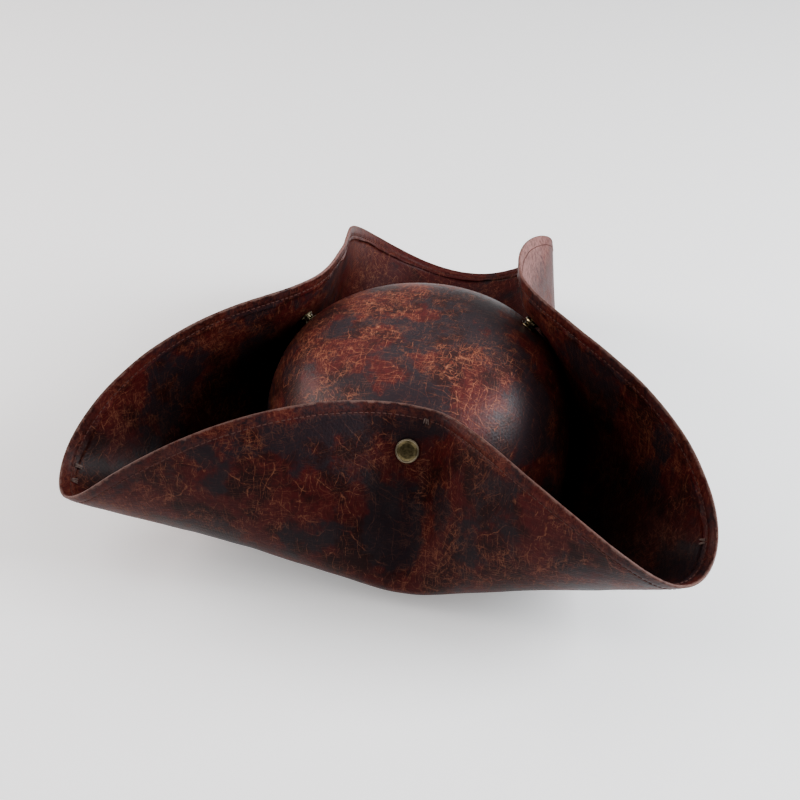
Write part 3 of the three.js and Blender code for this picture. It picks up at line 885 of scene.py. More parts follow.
# Soft dents in the crown: how often around it, their wavelength up it, their share and where they start.
DENT_HEIGHT = 0.5
DENTS = (
    {"turns": 2, "wavelength": 150.0, "size": 0.5, "phase": 0.3},
    {"turns": 3, "wavelength": 90.0, "size": 0.35, "phase": 1.7},
    {"turns": 5, "wavelength": 70.0, "size": 0.2, "phase": 4.2},
)


def crown_dents(azimuth, rise):
    """How far the crown's leather is dented, in millimetres: little at its foot and at its top."""
    uneven = np.zeros_like(azimuth)
    for dent in DENTS:
        upward = math.sin(2.0 * math.pi * CROWN_RISE * rise / dent["wavelength"] + dent["phase"])
        uneven += dent["size"] * np.sin(dent["turns"] * azimuth + dent["phase"]) * upward
    return DENT_HEIGHT * uneven * math.sqrt(math.sin(math.pi * rise))


def crown_rings(inward):
    """Rings of the dome from the foot to just below the top, set in by a distance."""
    azimuth = circle(CROWN_AROUND)
    power = 2.0 / CROWN["roundness"]
    rings = []
    for index in range(CROWN_UP):
        rise = index / CROWN_UP
        angle = math.pi / 2.0 * rise
        share = math.cos(angle) ** power
        height = math.sin(angle) ** power * (CROWN["height"] - inward)
        dents = crown_dents(azimuth, rise) * share
        x = ((CROWN["half_width"] - inward) * share + dents) * np.cos(azimuth)
        y = ((CROWN["half_depth"] - inward) * share + dents) * np.sin(azimuth)
        rings.append(np.stack([x, y, np.full_like(x, height)], axis=1))
    return rings


def crown(origin):
    rings = list(reversed(crown_rings(CROWN["wall"]))) + crown_rings(0.0)
    tops = np.array([[0.0, 0.0, CROWN["height"] - CROWN["wall"]], [0.0, 0.0, CROWN["height"]]])
    vertices = np.concatenate(rings + [tops])
    faces = capped_faces(len(rings), CROWN_AROUND)
    piece = mesh_object("crown_leather", place_in_frame(vertices, origin), faces)
    inside = np.zeros(len(vertices))
    inside[: CROWN_UP * CROWN_AROUND] = 1.0
    inside[-2] = 1.0
    add_float(piece, "inside", inside)
    return piece


# Snap pieces

SNAP_AROUND = 48
CORNER = {"radius": 0.18, "fine_radius": 0.12, "reach": 0.4, "steps": 3}

# The cap from its rolled edge over a groove to its dome: places in from its side and up, in edge widths.
CAP_ROLL = ((0.5, 1.6), (1.3, 1.7), (1.8, 1.35), (2.6, 1.75))
CAP_DOME = {"shoulder_in": 4.2, "shoulder_down": 0.38, "top_share": 0.33, "top_down": 0.10}


def snap_space(flap, origin):
    """The snap's own space: its origin is on the crown's outer face and +Z points out through the flap."""
    azimuth = math.radians(flap["azimuth"])
    outward = Vector(crown_normal(azimuth, flap["height"]))
    place = Vector(crown_point(azimuth, flap["height"])) * MM + Vector(origin)
    return Matrix.Translation(place) @ outward.to_track_quat("Z", "Y").to_matrix().to_4x4()


def turned(name, profile, space):
    """A turned solid from radius and height pairs in millimetres, on the axis at both ends."""
    middle = profile[1:-1]
    vertices = []
    radii = []
    for radius, height in middle:
        for angle in circle(SNAP_AROUND):
            vertices.append((radius * math.cos(angle), radius * math.sin(angle), height))
            radii.append(radius)
    vertices += [(0.0, 0.0, profile[0][1]), (0.0, 0.0, profile[-1][1])]
    radii += [0.0, 0.0]
    placed = [space @ (Vector(vertex) * MM) for vertex in vertices]
    piece = mesh_object(name, placed, capped_faces(len(middle), SNAP_AROUND))
    add_float(piece, "from_axis", np.array(radii) * MM)
    return piece


def rounded(corners, radius=CORNER["radius"]):
    """The profile with each inner corner rounded."""
    result = [corners[0]]
    for before, here, after in zip(corners, corners[1:], corners[2:]):
        here = np.array(here)
        to_before = np.array(before) - here
        to_after = np.array(after) - here
        before_length = np.linalg.norm(to_before)
        after_length = np.linalg.norm(to_after)
        reach = min(radius, before_length * CORNER["reach"], after_length * CORNER["reach"])
        start = here + to_before / before_length * reach
        end = here + to_after / after_length * reach
        for index in range(CORNER["steps"] + 1):
            share = index / CORNER["steps"]
            rest = 1.0 - share
            point = start * rest ** 2 + here * 2.0 * share * rest + end * share ** 2
            result.append((point[0], point[1]))
    result.append(corners[-1])
    return result


def cap_profile():
    """A flat cap with a rolled edge around a shallow dome, on a barrel through the flap."""
    seat = FLAP_LIFT + BRIM["leather"] / 2.0 + CLEARANCE
    top = seat + CAP["height"]
    barrel_end = FLAP_LIFT - BRIM["leather"] / 2.0 - CLEARANCE / 2.0
    edge = CAP["edge"]
    side = CAP["radius"]
    corners = [
        (0.0, barrel_end),
        (CAP["barrel_radius"], barrel_end),
        (CAP["barrel_radius"], seat),
        (side - edge / 2.0, seat),
        (side, seat + edge / 2.0),
        (side, seat + edge),
    ]
    corners += [(side - edge * inward, seat + edge * up) for inward, up in CAP_ROLL]
    corners += [
        (side - edge * CAP_DOME["shoulder_in"], top - edge * CAP_DOME["shoulder_down"]),
        (side * CAP_DOME["top_share"], top - edge * CAP_DOME["top_down"]),
        (0.0, top),
    ]
    return rounded(corners)


def socket_profile():
    top = FLAP_LIFT - BRIM["leather"] / 2.0 - 1.5 * CLEARANCE
    mouth = top - SOCKET["height"]
    bore = SOCKET["radius"] - SOCKET["wall"]
    corners = [
        (0.0, top - SOCKET["roof"]),
        (bore, top - SOCKET["roof"]),
        (bore, mouth + SOCKET["chamfer"]),
        (bore + SOCKET["chamfer"], mouth),
        (SOCKET["radius"] - SOCKET_WAIST["mouth"], mouth),
        (SOCKET["radius"] - SOCKET_WAIST["inset"], mouth + SOCKET_WAIST["low"]),
        (SOCKET["radius"], mouth + SOCKET_WAIST["high"]),
        (SOCKET["radius"], top),
        (0.0, top),
    ]
    return rounded(corners)


def stud_profile():
    seat = CLEARANCE
    head_foot = STUD["height"] - STUD["head"]
    corners = [
        (0.0, seat),
        (STUD["flange_radius"], seat),
        (STUD["flange_radius"], seat + STUD["flange"] / 2.0),
        (STUD["head_radius"] + STUD_ROOT["out"], seat + STUD["flange"]),
        (STUD["neck_radius"], seat + STUD["flange"] + STUD_ROOT["up"]),
        (STUD["neck_radius"], head_foot),
        (STUD["head_radius"], head_foot + STUD["head"] / 3.0),
        (STUD["head_radius"], STUD["height"] - STUD["head"] / 3.0),
        (STUD["neck_radius"], STUD["height"]),
        (0.0, STUD["height"]),
    ]
    return rounded(corners, CORNER["fine_radius"])


def eyelet_profile():
    seat = -CROWN["wall"] - CLEARANCE
    corners = [
        (0.0, seat - EYELET["flange"]),
        (EYELET["flange_radius"] - EYELET["edge"], seat - EYELET["flange"]),
        (EYELET["flange_radius"], seat - EYELET["flange"] / 2.0),
        (EYELET["flange_radius"], seat),
        (EYELET["post_radius"], seat),
        (EYELET["post_radius"], 0.0),
        (0.0, 0.0),
    ]
    return rounded(corners, CORNER["fine_radius"])


# Materials

# Red, green and blue in linear light, each with a one for solid.
COLOURS = {
    "shade_black": (0.0045, 0.0030, 0.0028, 1.0),
    "slate": (0.0270, 0.0210, 0.0270, 1.0),
    "dark_brown": (0.032, 0.0068, 0.0064, 1.0),
    "wine": (0.120, 0.0128, 0.0122, 1.0),
    "rust": (0.205, 0.034, 0.0215, 1.0),
    "tan": (0.50, 0.178, 0.092, 1.0),
    "hem": (0.185, 0.036, 0.027, 1.0),
    "worn": (0.40, 0.22, 0.18, 1.0),
    "sheen_pink": (0.72, 0.36, 0.32, 1.0),
    "antique_brass_dark": (0.062, 0.048, 0.022, 1.0),
    "antique_brass_light": (0.140, 0.108, 0.052, 1.0),
    "antique_brass_rim": (0.23, 0.185, 0.125, 1.0),
    "bright_brass_dark": (0.11, 0.09, 0.048, 1.0),
    "bright_brass_light": (0.24, 0.20, 0.12, 1.0),
    "brown_thread_dark": (0.022, 0.007, 0.0055, 1.0),
    "brown_thread_light": (0.070, 0.023, 0.016, 1.0),
    "grey_thread_dark": (0.035, 0.022, 0.018, 1.0),
    "grey_thread_light": (0.15, 0.10, 0.085, 1.0),
    "floor_dark": (0.90, 0.90, 0.90, 1.0),
    "floor_light": (0.93, 0.93, 0.93, 1.0),
    "white": (1.0, 1.0, 1.0, 1.0),
}

# Each layer of noise: its scale per metre, its detail, its roughness and where it is moved to.
NOISES = {
    "clouds": {"scale": 22.0, "detail": 5.0, "roughness": 0.62, "place": (0.3, 0.9, 0.1)},
    "patches": {"scale": 38.0, "detail": 5.0, "roughness": 0.66, "place": (3.1, 1.7, 0.4)},
    "dense": {"scale": 27.0, "detail": 4.0, "roughness": 0.62, "place": (0.7, 9.0, 3.3)},
    "fine": {"scale": 330.0, "detail": 3.0, "roughness": 0.7, "place": (7.3, 4.1, 2.2)},
    "breaks": {"scale": 105.0, "detail": 3.0, "roughness": 0.65},
    "ragged": {"scale": 260.0, "detail": 3.0, "roughness": 0.65},
    "creases": {"scale": 95.0, "detail": 2.0, "roughness": 0.6},
    "grain": {"scale": 1000.0, "detail": 2.0, "roughness": 0.6},
    "flow": {"scale": 45.0, "detail": 2.0, "roughness": 0.6},
    "jagged": {"scale": 340.0, "detail": 2.0, "roughness": 0.6},
    "antique_brass": {"scale": 900.0, "detail": 6.0, "roughness": 0.65},
    "bright_brass": {"scale": 700.0, "detail": 5.0, "roughness": 0.6},
    "scuffs": {"scale": 1500.0, "detail": 4.0, "roughness": 0.6},
    "twist": {"scale": 2600.0, "detail": 3.0, "roughness": 0.6},
    "speckle": {"scale": 40.0, "detail": 4.0, "roughness": 0.6},
}

# Each smooth step: the values between which it goes, and what it gives at either end.
STEPS = {
    "slate_clouds": (0.48, 0.57, 0.0, 1.0),
    "slate_patches": (0.32, 0.50, 0.0, 1.0),
    "red": (0.40, 0.58, 0.0, 1.0),
    "worn": (0.44, 0.60, 0.0, 1.0),
    "haze": (0.42, 0.64, 0.0, 0.32),
    "mottle": (0.30, 0.62, 0.45, 0.0),
    "hair_breaks": (0.43, 0.51, 0.0, 1.0),
    "hair_worn": (0.0, 0.8, 0.34, 1.0),
    "hair_tan": (0.36, 0.62, 0.0, 1.0),
    "net_line": (0.0, 0.070, 1.0, 0.0),
    "net_breaks": (0.40, 0.56, 0.0, 1.0),
    "gloss_clouds": (0.35, 0.65, 0.03, -0.03),
    "hem": (5.0 * MM, 8.0 * MM, 0.45, 0.0),
    "hem_mottle": (0.34, 0.62, 0.0, 1.0),
    "rim": (-1.1 * MM, 0.3 * MM, 0.75, 0.0),
    "raw_shadow": (0.2 * MM, 1.1 * MM, 0.8, 0.0),
    "raw_clouds": (0.38, 0.62, 0.25, 1.0),
    "tip_mottle": (0.30, 0.65, 0.25, 0.85),
    "tarnish": (0.30, 0.70, 0.0, 1.0),
    "cap_rim": (5.4 * MM, 6.0 * MM, 0.0, 0.85),
}

# The crown's leather leans from worn at its left to slate at its right, and the brim's is redder
# behind: a place in metres, another one, and how far the noise is shifted at each. On the crown the
# lean is partly the leather's own patches and partly painted light and shade: lighter at the left,
# darker at the right.
CROWN_LEAN_AND_SHADE = (-0.07, 0.08, -0.03, 0.03)
REAR_RED = (0.05, 0.13, 0.0, 0.10)

# Each leather's brightness, gloss and roughness, and how much its cracks show. The brim's lower brightness is
# painted shade and the crown's higher one painted light, on the same leather.
LEATHERS = {
    "brim_leather": {"brightness": 0.27, "gloss": 0.05, "roughness": 0.38, "cracks": 0.74},
    "crown_leather": {"brightness": 0.56, "gloss": 0.16, "roughness": 0.44, "cracks": 0.95},
}

# How strongly each thing shows in the leather, and what it adds to the roughness.
SLATE_SHARE = 0.90
SLATE_HIDES_CRACKS = 0.70
NET = {"scale": 380.0, "share": 0.75}
CRACK_ROUGHNESS = 0.10
RAGGED_RIM = 4.5 * MM
TIP_ROUGHNESS = 0.42
TROUGH_SHADE_STRENGTH = 0.93
INSIDE = {"share": 0.85, "roughness": 0.4}
RELIEF_SHARES = {"creases": 2.2, "weave": 0.085}
WEAVE_PITCH = 1.7 * MM
LEATHER_INDEX = 1.5

# How far each material's relief stands out, in metres, and how much of it shows.
BUMPS = {
    "leather": (0.20 * MM, 0.6),
    "antique_brass": (0.04 * MM, 0.4),
    "bright_brass": (0.03 * MM, 0.3),
    "thread": (0.10 * MM, 0.6),
}

# How far these noises push places about, in metres.
WARP_REACH = {"flow": 10.0 * MM, "jagged": 1.2 * MM}

# Each brass's roughness where it is darkest and where it is lightest.
BRASS_ROUGHNESS = {"antique_brass": (0.30, 0.40), "bright_brass": (0.22, 0.36)}

# How the scuffs on the caps are stretched and turned.
SCUFFS = {"scale": (1.0, 5.0, 1.0), "turn": (0.3, 0.5, 0.8)}

# A hair's distance comes from how fast the noise changes over a step. Flatter noise counts as this.
HAIR_STEP = 0.1 * MM
FLATTEST_NOISE = 0.0002

# Each layer of hair-like cracks: how it is stretched and turned, its scale per metre, its half width
# in millimetres and which of three masks breaks it up. Only the first ones are as strong everywhere.
HAIRS_EVERYWHERE = 2
HAIRS = (
    {"stretch": (1.0, 0.16, 0.30), "turn": (0.3, 0.2, 0.5), "scale": 150.0, "width": 0.29, "mask": 0},
    {"stretch": (0.18, 1.0, 0.25), "turn": (0.9, 1.2, 2.0), "scale": 190.0, "width": 0.27, "mask": 1},
    {"stretch": (1.0, 0.22, 0.16), "turn": (2.2, 0.4, 1.2), "scale": 235.0, "width": 0.25, "mask": 2},
    {"stretch": (0.20, 0.20, 1.0), "turn": (1.4, 2.7, 0.1), "scale": 280.0, "width": 0.24, "mask": 0},
    {"stretch": (1.0, 0.25, 0.20), "turn": (0.2, 1.9, 2.8), "scale": 330.0, "width": 0.22, "mask": 1},
    {"stretch": (0.22, 1.0, 0.22), "turn": (2.7, 2.2, 0.9), "scale": 380.0, "width": 0.21, "mask": 2},
    {"stretch": (0.25, 0.20, 1.0), "turn": (0.6, 0.5, 1.7), "scale": 440.0, "width": 0.20, "mask": 0},
)


class Look:
    """A material's nodes, with short calls for the ones used here."""

    def __init__(self, name):
        self.material = bpy.data.materials.new(name)
        self.material.use_nodes = True
        self.nodes = self.material.node_tree.nodes
        self.links = self.material.node_tree.links
        self.shader = self.nodes["Principled BSDF"]
        self.where = self.node("ShaderNodeTexCoord").outputs["Object"]

    def node(self, kind, inputs=(), **values):
        """A new node with its values set and its first inputs fed."""
        made = self.nodes.new(kind)
        for key, value in values.items():
            setattr(made, key, value)
        for socket, value in zip(made.inputs, inputs):
            self.feed(socket, value)
        return made

    def feed(self, socket, value):
        """Links another socket, or sets a number, a triple or a named colour."""
        if isinstance(value, bpy.types.NodeSocket):
            self.links.new(value, socket)
        else:
            socket.default_value = COLOURS[value] if isinstance(value, str) else value

    def finish(self, values):
        for name, value in values.items():
            self.feed(self.shader.inputs[name], value)
        return self.material

    def math(self, operation, first, second=0.0):
        return self.node("ShaderNodeMath", (first, second), operation=operation).outputs[0]

    def plus(self, first, second):
        return self.math("ADD", first, second)

    def minus(self, first, second):
        return self.math("SUBTRACT", first, second)

    def times(self, first, second):
        return self.math("MULTIPLY", first, second)

    def ramp(self, value, low, high, to_low, to_high):
        inputs = (value, low, high, to_low, to_high)
        return self.node("ShaderNodeMapRange", inputs, interpolation_type="SMOOTHSTEP").outputs["Result"]

    def step(self, name, value):
        return self.ramp(value, *STEPS[name])

    def mix(self, share, first, second):
        made = self.node("ShaderNodeMix", (share,), data_type="RGBA")
        self.feed(made.inputs[6], first)
        self.feed(made.inputs[7], second)
        return made.outputs[2]

    def noise(self, vector, scale, detail=0.0, roughness=0.5, place=None, output="Fac"):
        made = self.node("ShaderNodeTexNoise")
        inputs = {"Vector": vector, "Scale": scale, "Detail": detail, "Roughness": roughness}
        if place:
            inputs["Vector"] = self.moved(vector, place=place)
        for name, value in inputs.items():
            self.feed(made.inputs[name], value)
        return made.outputs[output]

    def cracks(self, vector, scale):
        made = self.node("ShaderNodeTexVoronoi", feature="DISTANCE_TO_EDGE")
        self.feed(made.inputs["Vector"], vector)
        self.feed(made.inputs["Scale"], scale)
        return made.outputs["Distance"]

    def moved(self, vector, scale=(1.0, 1.0, 1.0), turn=(0.0, 0.0, 0.0), place=(0.0, 0.0, 0.0)):
        made = self.node("ShaderNodeMapping", (vector,))
        made.inputs["Scale"].default_value = scale
        made.inputs["Rotation"].default_value = turn
        made.inputs["Location"].default_value = place
        return made.outputs["Vector"]

    def warped(self, vector, name):
        """The vector pushed about by a named noise."""
        pushed = self.noise(vector, output="Color", **NOISES[name])
        centred = self.node("ShaderNodeVectorMath", (pushed, (0.5, 0.5, 0.5)), operation="SUBTRACT")
        scaled = self.node("ShaderNodeVectorMath", (centred.outputs[0],), operation="SCALE")
        scaled.inputs["Scale"].default_value = WARP_REACH[name]
        total = self.node("ShaderNodeVectorMath", (vector, scaled.outputs[0]), operation="ADD")
        return total.outputs[0]

    def bump(self, name, height):
        made = self.node("ShaderNodeBump")
        made.inputs["Distance"].default_value, made.inputs["Strength"].default_value = BUMPS[name]
        self.feed(made.inputs["Height"], height)
        return made.outputs["Normal"]

    def attribute(self, name):
        return self.node("ShaderNodeAttribute", attribute_name=name).outputs["Fac"]

    def axis(self, index):
        return self.node("ShaderNodeSeparateXYZ", (self.where,)).outputs[index]


def hairs(look, where, layer):
    """Thin lines of an even width, where a stretched noise passes its middle value."""
    beside = [0.0, 0.0, 0.0]
    beside[layer["stretch"].index(1.0)] = HAIR_STEP
    values = []
    for place in (where, look.moved(where, place=beside)):
        turned_space = look.moved(place, scale=layer["stretch"], turn=layer["turn"])
        values.append(look.noise(turned_space, layer["scale"]))
    apart = look.math("ABSOLUTE", look.minus(values[0], 0.5))
    slope = look.math("ABSOLUTE", look.minus(values[1], values[0]))
    steps_away = look.math("DIVIDE", apart, look.math("MAXIMUM", slope, FLATTEST_NOISE))
    return look.ramp(steps_away, 0.0, layer["width"] * MM / HAIR_STEP, 1.0, 0.0)


def weave(look):
    """The fine cloth backing that shows through the leather: a grid of low ribs."""
    total = 0.0
    for index in range(3):
        turns = look.times(look.axis(index), 2.0 * math.pi / WEAVE_PITCH)
        total = look.plus(look.math("SINE", turns), total)
    return total


def leather_layers(look):
    """The noise that the leather's colours come from, by name."""
    flow = look.warped(look.where, "flow")
    layers = {}
    for name, vector in (("clouds", flow), ("patches", look.where), ("dense", flow), ("fine", look.where)):
        layers[name] = look.noise(vector, **NOISES[name])
    layers["jagged"] = look.warped(flow, "jagged")
    breaks = look.noise(look.where, output="Color", **NOISES["breaks"])
    layers["breaks"] = look.node("ShaderNodeSeparateColor", (breaks,)).outputs
    return layers


def leather_cracks(look, layers, worn, slate):
    """How strongly a crack shows at each place: hairs everywhere, and a fine net where it is worn."""
    breaks = layers["breaks"]
    lines = 0.0
    for index, layer in enumerate(HAIRS):
        unbroken = hairs(look, layers["jagged"], layer)
        found = look.times(unbroken, look.step("hair_breaks", breaks[layer["mask"]]))
        if index >= HAIRS_EVERYWHERE:
            found = look.times(found, look.step("hair_worn", worn))
        lines = look.math("MAXIMUM", found, lines)
    net = look.step("net_line", look.cracks(layers["jagged"], NET["scale"]))
    net = look.times(net, look.step("net_breaks", breaks[2]))
    lines = look.math("MAXIMUM", lines, look.times(net, look.times(worn, NET["share"])))
    return look.times(lines, look.minus(1.0, look.times(slate, SLATE_HIDES_CRACKS)))


def leather_colour(look, layers, leather):
    """Slate clouds, wine-red patches and fine tan cracks, and the roughness that goes with them."""
    clouds = layers["clouds"]
    fine = layers["fine"]
    slate = look.times(look.step("slate_clouds", clouds), look.step("slate_patches", layers["patches"]))
    worn = look.step("worn", layers["dense"])
    base = look.mix(look.step("red", layers["patches"]), "dark_brown", "wine")
    base = look.mix(look.times(worn, look.step("haze", fine)), base, "rust")
    base = look.mix(look.step("mottle", fine), base, "dark_brown")
    base = look.mix(look.times(slate, SLATE_SHARE), base, "slate")
    lines = leather_cracks(look, layers, worn, slate)
    line_colour = look.mix(look.step("hair_tan", fine), "rust", "tan")
    colour = look.mix(look.times(lines, leather["cracks"]), base, line_colour)
    roughness = look.plus(look.step("gloss_clouds", clouds), leather["roughness"])
    return colour, look.plus(roughness, look.times(lines, CRACK_ROUGHNESS))


def finished_leather(look, colour, roughness, leather):
    """The material, with the leather's grain, its creases and the weave under it."""
    creases = look.times(look.noise(look.where, **NOISES["creases"]), RELIEF_SHARES["creases"])
    height = look.plus(look.noise(look.where, **NOISES["grain"]), creases)
    height = look.plus(height, look.times(weave(look), RELIEF_SHARES["weave"]))
    # Painted light and shade: the same leather is made darker on the brim and lighter on the crown.
    bright = look.node("ShaderNodeHueSaturation")
    bright.inputs["Value"].default_value = leather["brightness"]
    look.feed(bright.inputs["Color"], colour)
    return look.finish({
        "Base Color": bright.outputs["Color"],
        "Roughness": roughness,
        "Normal": look.bump("leather", height),
        "Specular IOR Level": leather["gloss"],
        "IOR": LEATHER_INDEX,
    })


def brim_leather():
    """The brim's leather, with a worn rim, a painted shadow along the raw edge, a painted sheen on the rear
    flaps' high tips and painted shade on the inner face towards the crown.
    """
    look = Look("brim_leather")
    leather = LEATHERS["brim_leather"]
    layers = leather_layers(look)
    behind = look.ramp(look.axis(1), *REAR_RED)
    layers["clouds"] = look.minus(layers["clouds"], behind)
    layers["patches"] = look.plus(layers["patches"], behind)
    colour, roughness = leather_colour(look, layers, leather)
    fine = layers["fine"]
    edge = look.attribute("from_rim")
    uneven = look.minus(look.noise(look.where, **NOISES["ragged"]), 0.5)
    ragged = look.plus(edge, look.times(uneven, RAGGED_RIM))
    colour = look.mix(look.times(look.step("hem", edge), look.step("hem_mottle", fine)), colour, "hem")
    colour = look.mix(look.step("rim", ragged), colour, "worn")
    # Painted shadow: the leather is darkened along the hem's raw edge, broken up by the clouds.
    shadow = look.step("raw_shadow", look.math("ABSOLUTE", look.attribute("from_raw_edge")))
    colour = look.mix(look.times(shadow, look.step("raw_clouds", layers["clouds"])), colour, "shade_black")
    # Painted sheen: the high outer tips of the rear flaps are painted pale pink, and made rougher.
    tip = look.attribute("sheen_tip")
    colour = look.mix(look.times(tip, look.step("tip_mottle", fine)), colour, "sheen_pink")
    roughness = look.plus(roughness, look.times(tip, TIP_ROUGHNESS))
    # Painted shade: the inner face is darkened towards the crown, where the trough lies in shade.
    colour = look.mix(look.times(look.attribute("depth"), TROUGH_SHADE_STRENGTH), colour, "shade_black")
    return finished_leather(look, colour, roughness, leather)


def crown_leather():
    """The crown's leather, with the dark backing inside."""
    look = Look("crown_leather")
    leather = LEATHERS["crown_leather"]
    layers = leather_layers(look)
    # Partly painted light and shade: the crown's worn patches gather at its left and its slate at its right,
    # so its left is lighter and its right darker.
    side = look.ramp(look.axis(0), *CROWN_LEAN_AND_SHADE)
    layers["clouds"] = look.plus(layers["clouds"], side)
    layers["dense"] = look.minus(layers["dense"], side)
    colour, roughness = leather_colour(look, layers, leather)
    inside = look.attribute("inside")
    colour = look.mix(look.times(inside, INSIDE["share"]), colour, "slate")
    roughness = look.plus(roughness, look.times(inside, INSIDE["roughness"]))
    return finished_leather(look, colour, roughness, leather)


def brass(name, worn_and_highlit_rim=False):
    """Tarnished brass. The caps' raised rims are painted lighter, partly brass worn bright and partly a
    painted highlight, and scuffed.
    """
    look = Look(name)
    tarnish = look.noise(look.where, **NOISES[name])
    cover = look.step("tarnish", tarnish)
    colour = look.mix(cover, name + "_dark", name + "_light")
    height = tarnish
    if worn_and_highlit_rim:
        # The cap's raised rim is painted lighter: partly worn brass, partly a painted highlight.
        colour = look.mix(look.step("cap_rim", look.attribute("from_axis")), colour, name + "_rim")
        height = look.noise(look.moved(look.where, **SCUFFS), **NOISES["scuffs"])
    at_dark, at_light = BRASS_ROUGHNESS[name]
    return look.finish({
        "Base Color": colour,
        "Metallic": 1.0,
        "Roughness": look.plus(look.times(cover, at_light - at_dark), at_dark),
        "Normal": look.bump(name, height),
    })


def thread(name):
    look = Look(name)
    twist = look.noise(look.where, **NOISES["twist"])
    return look.finish({
        "Base Color": look.mix(twist, name + "_dark", name + "_light"),
        "Roughness": 0.8,
        "Specular IOR Level": 0.2,
        "Normal": look.bump("thread", twist),
    })


def pale_floor():
    look = Look("pale_floor")
    speckle = look.noise(look.where, **NOISES["speckle"])
    return look.finish({
        "Base Color": look.mix(speckle, "floor_dark", "floor_light"),
        "Roughness": 0.6,
        "Emission Color": "white",
        "Emission Strength": 0.34,
    })


def dress(piece, material, slot, *nodes):
    """Gives a piece its material; its slot is not used. It rides on the root and stands for the named nodes.
    """
    piece.data.materials.append(material)
    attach(piece, "root")
    if nodes:
        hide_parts(*nodes)


# Camera, light and floor

# The view was fitted to the photograph's outlines: azimuth, elevation and roll in degrees, and metres.
VIEW = {"azimuth": 11.40, "elevation": 33.74, "roll": 0.99, "distance": 0.855, "pixels_per_mm": 1.554}
VIEW_SLIDE = {"right": -0.0106, "up": 0.0450}
PHOTO_WIDTH = 800
SENSOR = 36.0
FLOOR_REACH = 30.0

# Each softbox points at the hat from an azimuth, from +X towards +Y, and an elevation in degrees.
SOFTBOXES = (
    {"name": "right_softbox", "from": (4.0, 27.0, 1.7), "size": (0.85, 0.85), "power": 72.0},
    {"name": "left_softbox", "from": (181.0, 23.0, 1.7), "size": (0.95, 0.8), "power": 32.0},
    {"name": "front_left_fill", "from": (214.0, 52.0, 1.9), "size": (1.3, 1.3), "power": 14.0},
    {"name": "front_right_fill", "from": (328.0, 48.0, 1.9), "size": (1.2, 1.2), "power": 10.0},
)
SOFTBOX_COLOURS = {"right_softbox": (0.93, 0.96, 1.0), "left_softbox": (1.0, 0.86, 0.82)}
SOFTBOX_TARGET = (0.0, -0.02, 0.06)
OVERHEAD = {"place": (0.0, 1.7, 2.4), "target": (0.0, 0.9, 0.0), "size": (4.0, 2.4), "power": 41.0}

# The sky is pale at the horizon and dark above it, between these heights of the direction's unit vector.
HORIZON = {"From Min": 0.10, "From Max": 0.24, "To Min": 0.80, "To Max": 0.09}


def camera(origin):
    azimuth = math.radians(VIEW["azimuth"])
    elevation = math.radians(VIEW["elevation"])
    roll = math.radians(VIEW["roll"])
    back = Vector((
        math.sin(azimuth) * math.cos(elevation),
        -math.cos(azimuth) * math.cos(elevation),
        math.sin(elevation),
    ))
    level = Vector((math.cos(azimuth), math.sin(azimuth), 0.0))
    rise = back.cross(level)
    right = level * math.cos(roll) + rise * math.sin(roll)
    up = rise * math.cos(roll) - level * math.sin(roll)
    place = Vector(origin) + right * VIEW_SLIDE["right"] + up * VIEW_SLIDE["up"] + back * VIEW["distance"]
    data = bpy.data.cameras.new("camera")
    data.sensor_width = SENSOR
    data.lens = SENSOR * VIEW["distance"] / MM * VIEW["pixels_per_mm"] / PHOTO_WIDTH
    data.clip_end = FLOOR_REACH
    made = bpy.data.objects.new("camera", data)
    made.matrix_world = Matrix.Translation(place) @ Matrix((right, up, back)).transposed().to_4x4()
    bpy.context.scene.collection.objects.link(made)
    bpy.context.scene.camera = made


def area_light(name, place, target, size, power, colour=(1.0, 1.0, 1.0)):
    data = bpy.data.lights.new(name, "AREA")
    data.shape = "RECTANGLE"
    data.size, data.size_y = size
    data.energy = power
    data.color = colour
    lamp = bpy.data.objects.new(name, data)
    towards = Vector(target) - Vector(place)
    lamp.matrix_world = Matrix.Translation(place) @ towards.to_track_quat("-Z", "Y").to_matrix().to_4x4()
    bpy.context.scene.collection.objects.link(lamp)


def place_from(azimuth, elevation, distance):
    """A place seen from the hat in a direction in degrees, in metres."""
    a = math.radians(azimuth)
    e = math.radians(elevation)
    level = distance * math.cos(e)
    return (level * math.cos(a), level * math.sin(a), distance * math.sin(e))


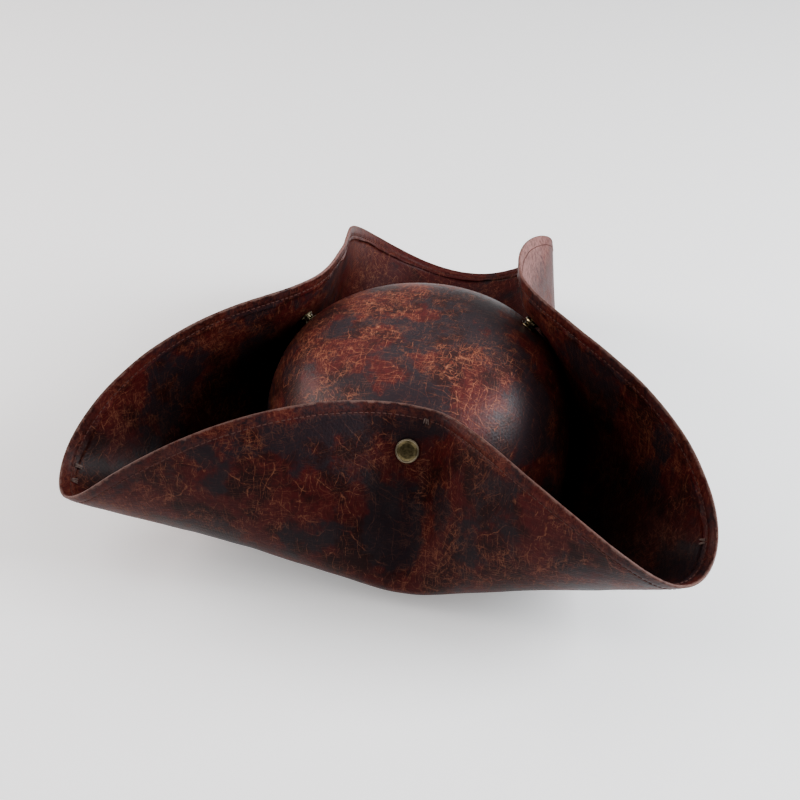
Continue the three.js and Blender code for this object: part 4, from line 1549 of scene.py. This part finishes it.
def sky():
    world = bpy.data.worlds.new("studio")
    world.use_nodes = True
    nodes = world.node_tree.nodes
    links = world.node_tree.links
    direction = nodes.new("ShaderNodeTexCoord")
    split = nodes.new("ShaderNodeSeparateXYZ")
    fade = nodes.new("ShaderNodeMapRange")
    fade.interpolation_type = "SMOOTHSTEP"
    for name, value in HORIZON.items():
        fade.inputs[name].default_value = value
    links.new(direction.outputs["Generated"], split.inputs[0])
    links.new(split.outputs["Z"], fade.inputs["Value"])
    links.new(fade.outputs["Result"], nodes["Background"].inputs["Strength"])
    nodes["Background"].inputs["Color"].default_value = COLOURS["white"]
    bpy.context.scene.world = world


def studio():
    for box in SOFTBOXES:
        colour = SOFTBOX_COLOURS.get(box["name"], (1.0, 1.0, 1.0))
        area_light(box["name"], place_from(*box["from"]), SOFTBOX_TARGET, box["size"], box["power"], colour)
    area_light("overhead", OVERHEAD["place"], OVERHEAD["target"], OVERHEAD["size"], OVERHEAD["power"])


def floor():
    corners = [(x * FLOOR_REACH, y * FLOOR_REACH, 0.0) for x, y in ((-1, -1), (1, -1), (1, 1), (-1, 1))]
    piece = mesh_object("floor", corners, [(0, 1, 2, 3)], smooth=False)
    piece.data.materials.append(pale_floor())


# Putting it together

lowest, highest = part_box("crown")
origin = ((lowest[0] + highest[0]) / 2.0, (lowest[1] + highest[1]) / 2.0, lowest[2])

camera(origin)
sky()
studio()
floor()

bent = Brim(eased(bent_brim()))
thread_look = thread("brown_thread")
dress(brim(bent, origin), brim_leather(), "brim_leather", "brim")
dress(stitch_row(bent, origin, "upper_stitches", True), thread_look, "brim_leather")
dress(stitch_row(bent, origin, "lower_stitches", False), thread_look, "brim_leather")
dress(tacks(bent, origin), thread("grey_thread"), "brim_leather")
dress(crown(origin), crown_leather(), "crown_leather", "crown")

brass_look = brass("antique_brass", worn_and_highlit_rim=True)
bright_look = brass("bright_brass")
for flap in FLAPS:
    space = snap_space(flap, origin)
    for part, profile, look in (
        ("cap", cap_profile(), brass_look),
        ("socket", socket_profile(), bright_look),
        ("stud", stud_profile(), bright_look),
        ("eyelet", eyelet_profile(), bright_look),
    ):
        node = "snap_" + flap["name"] + "_" + part
        dress(turned(node + "_metal", profile, space), look, "snap_metal", node)
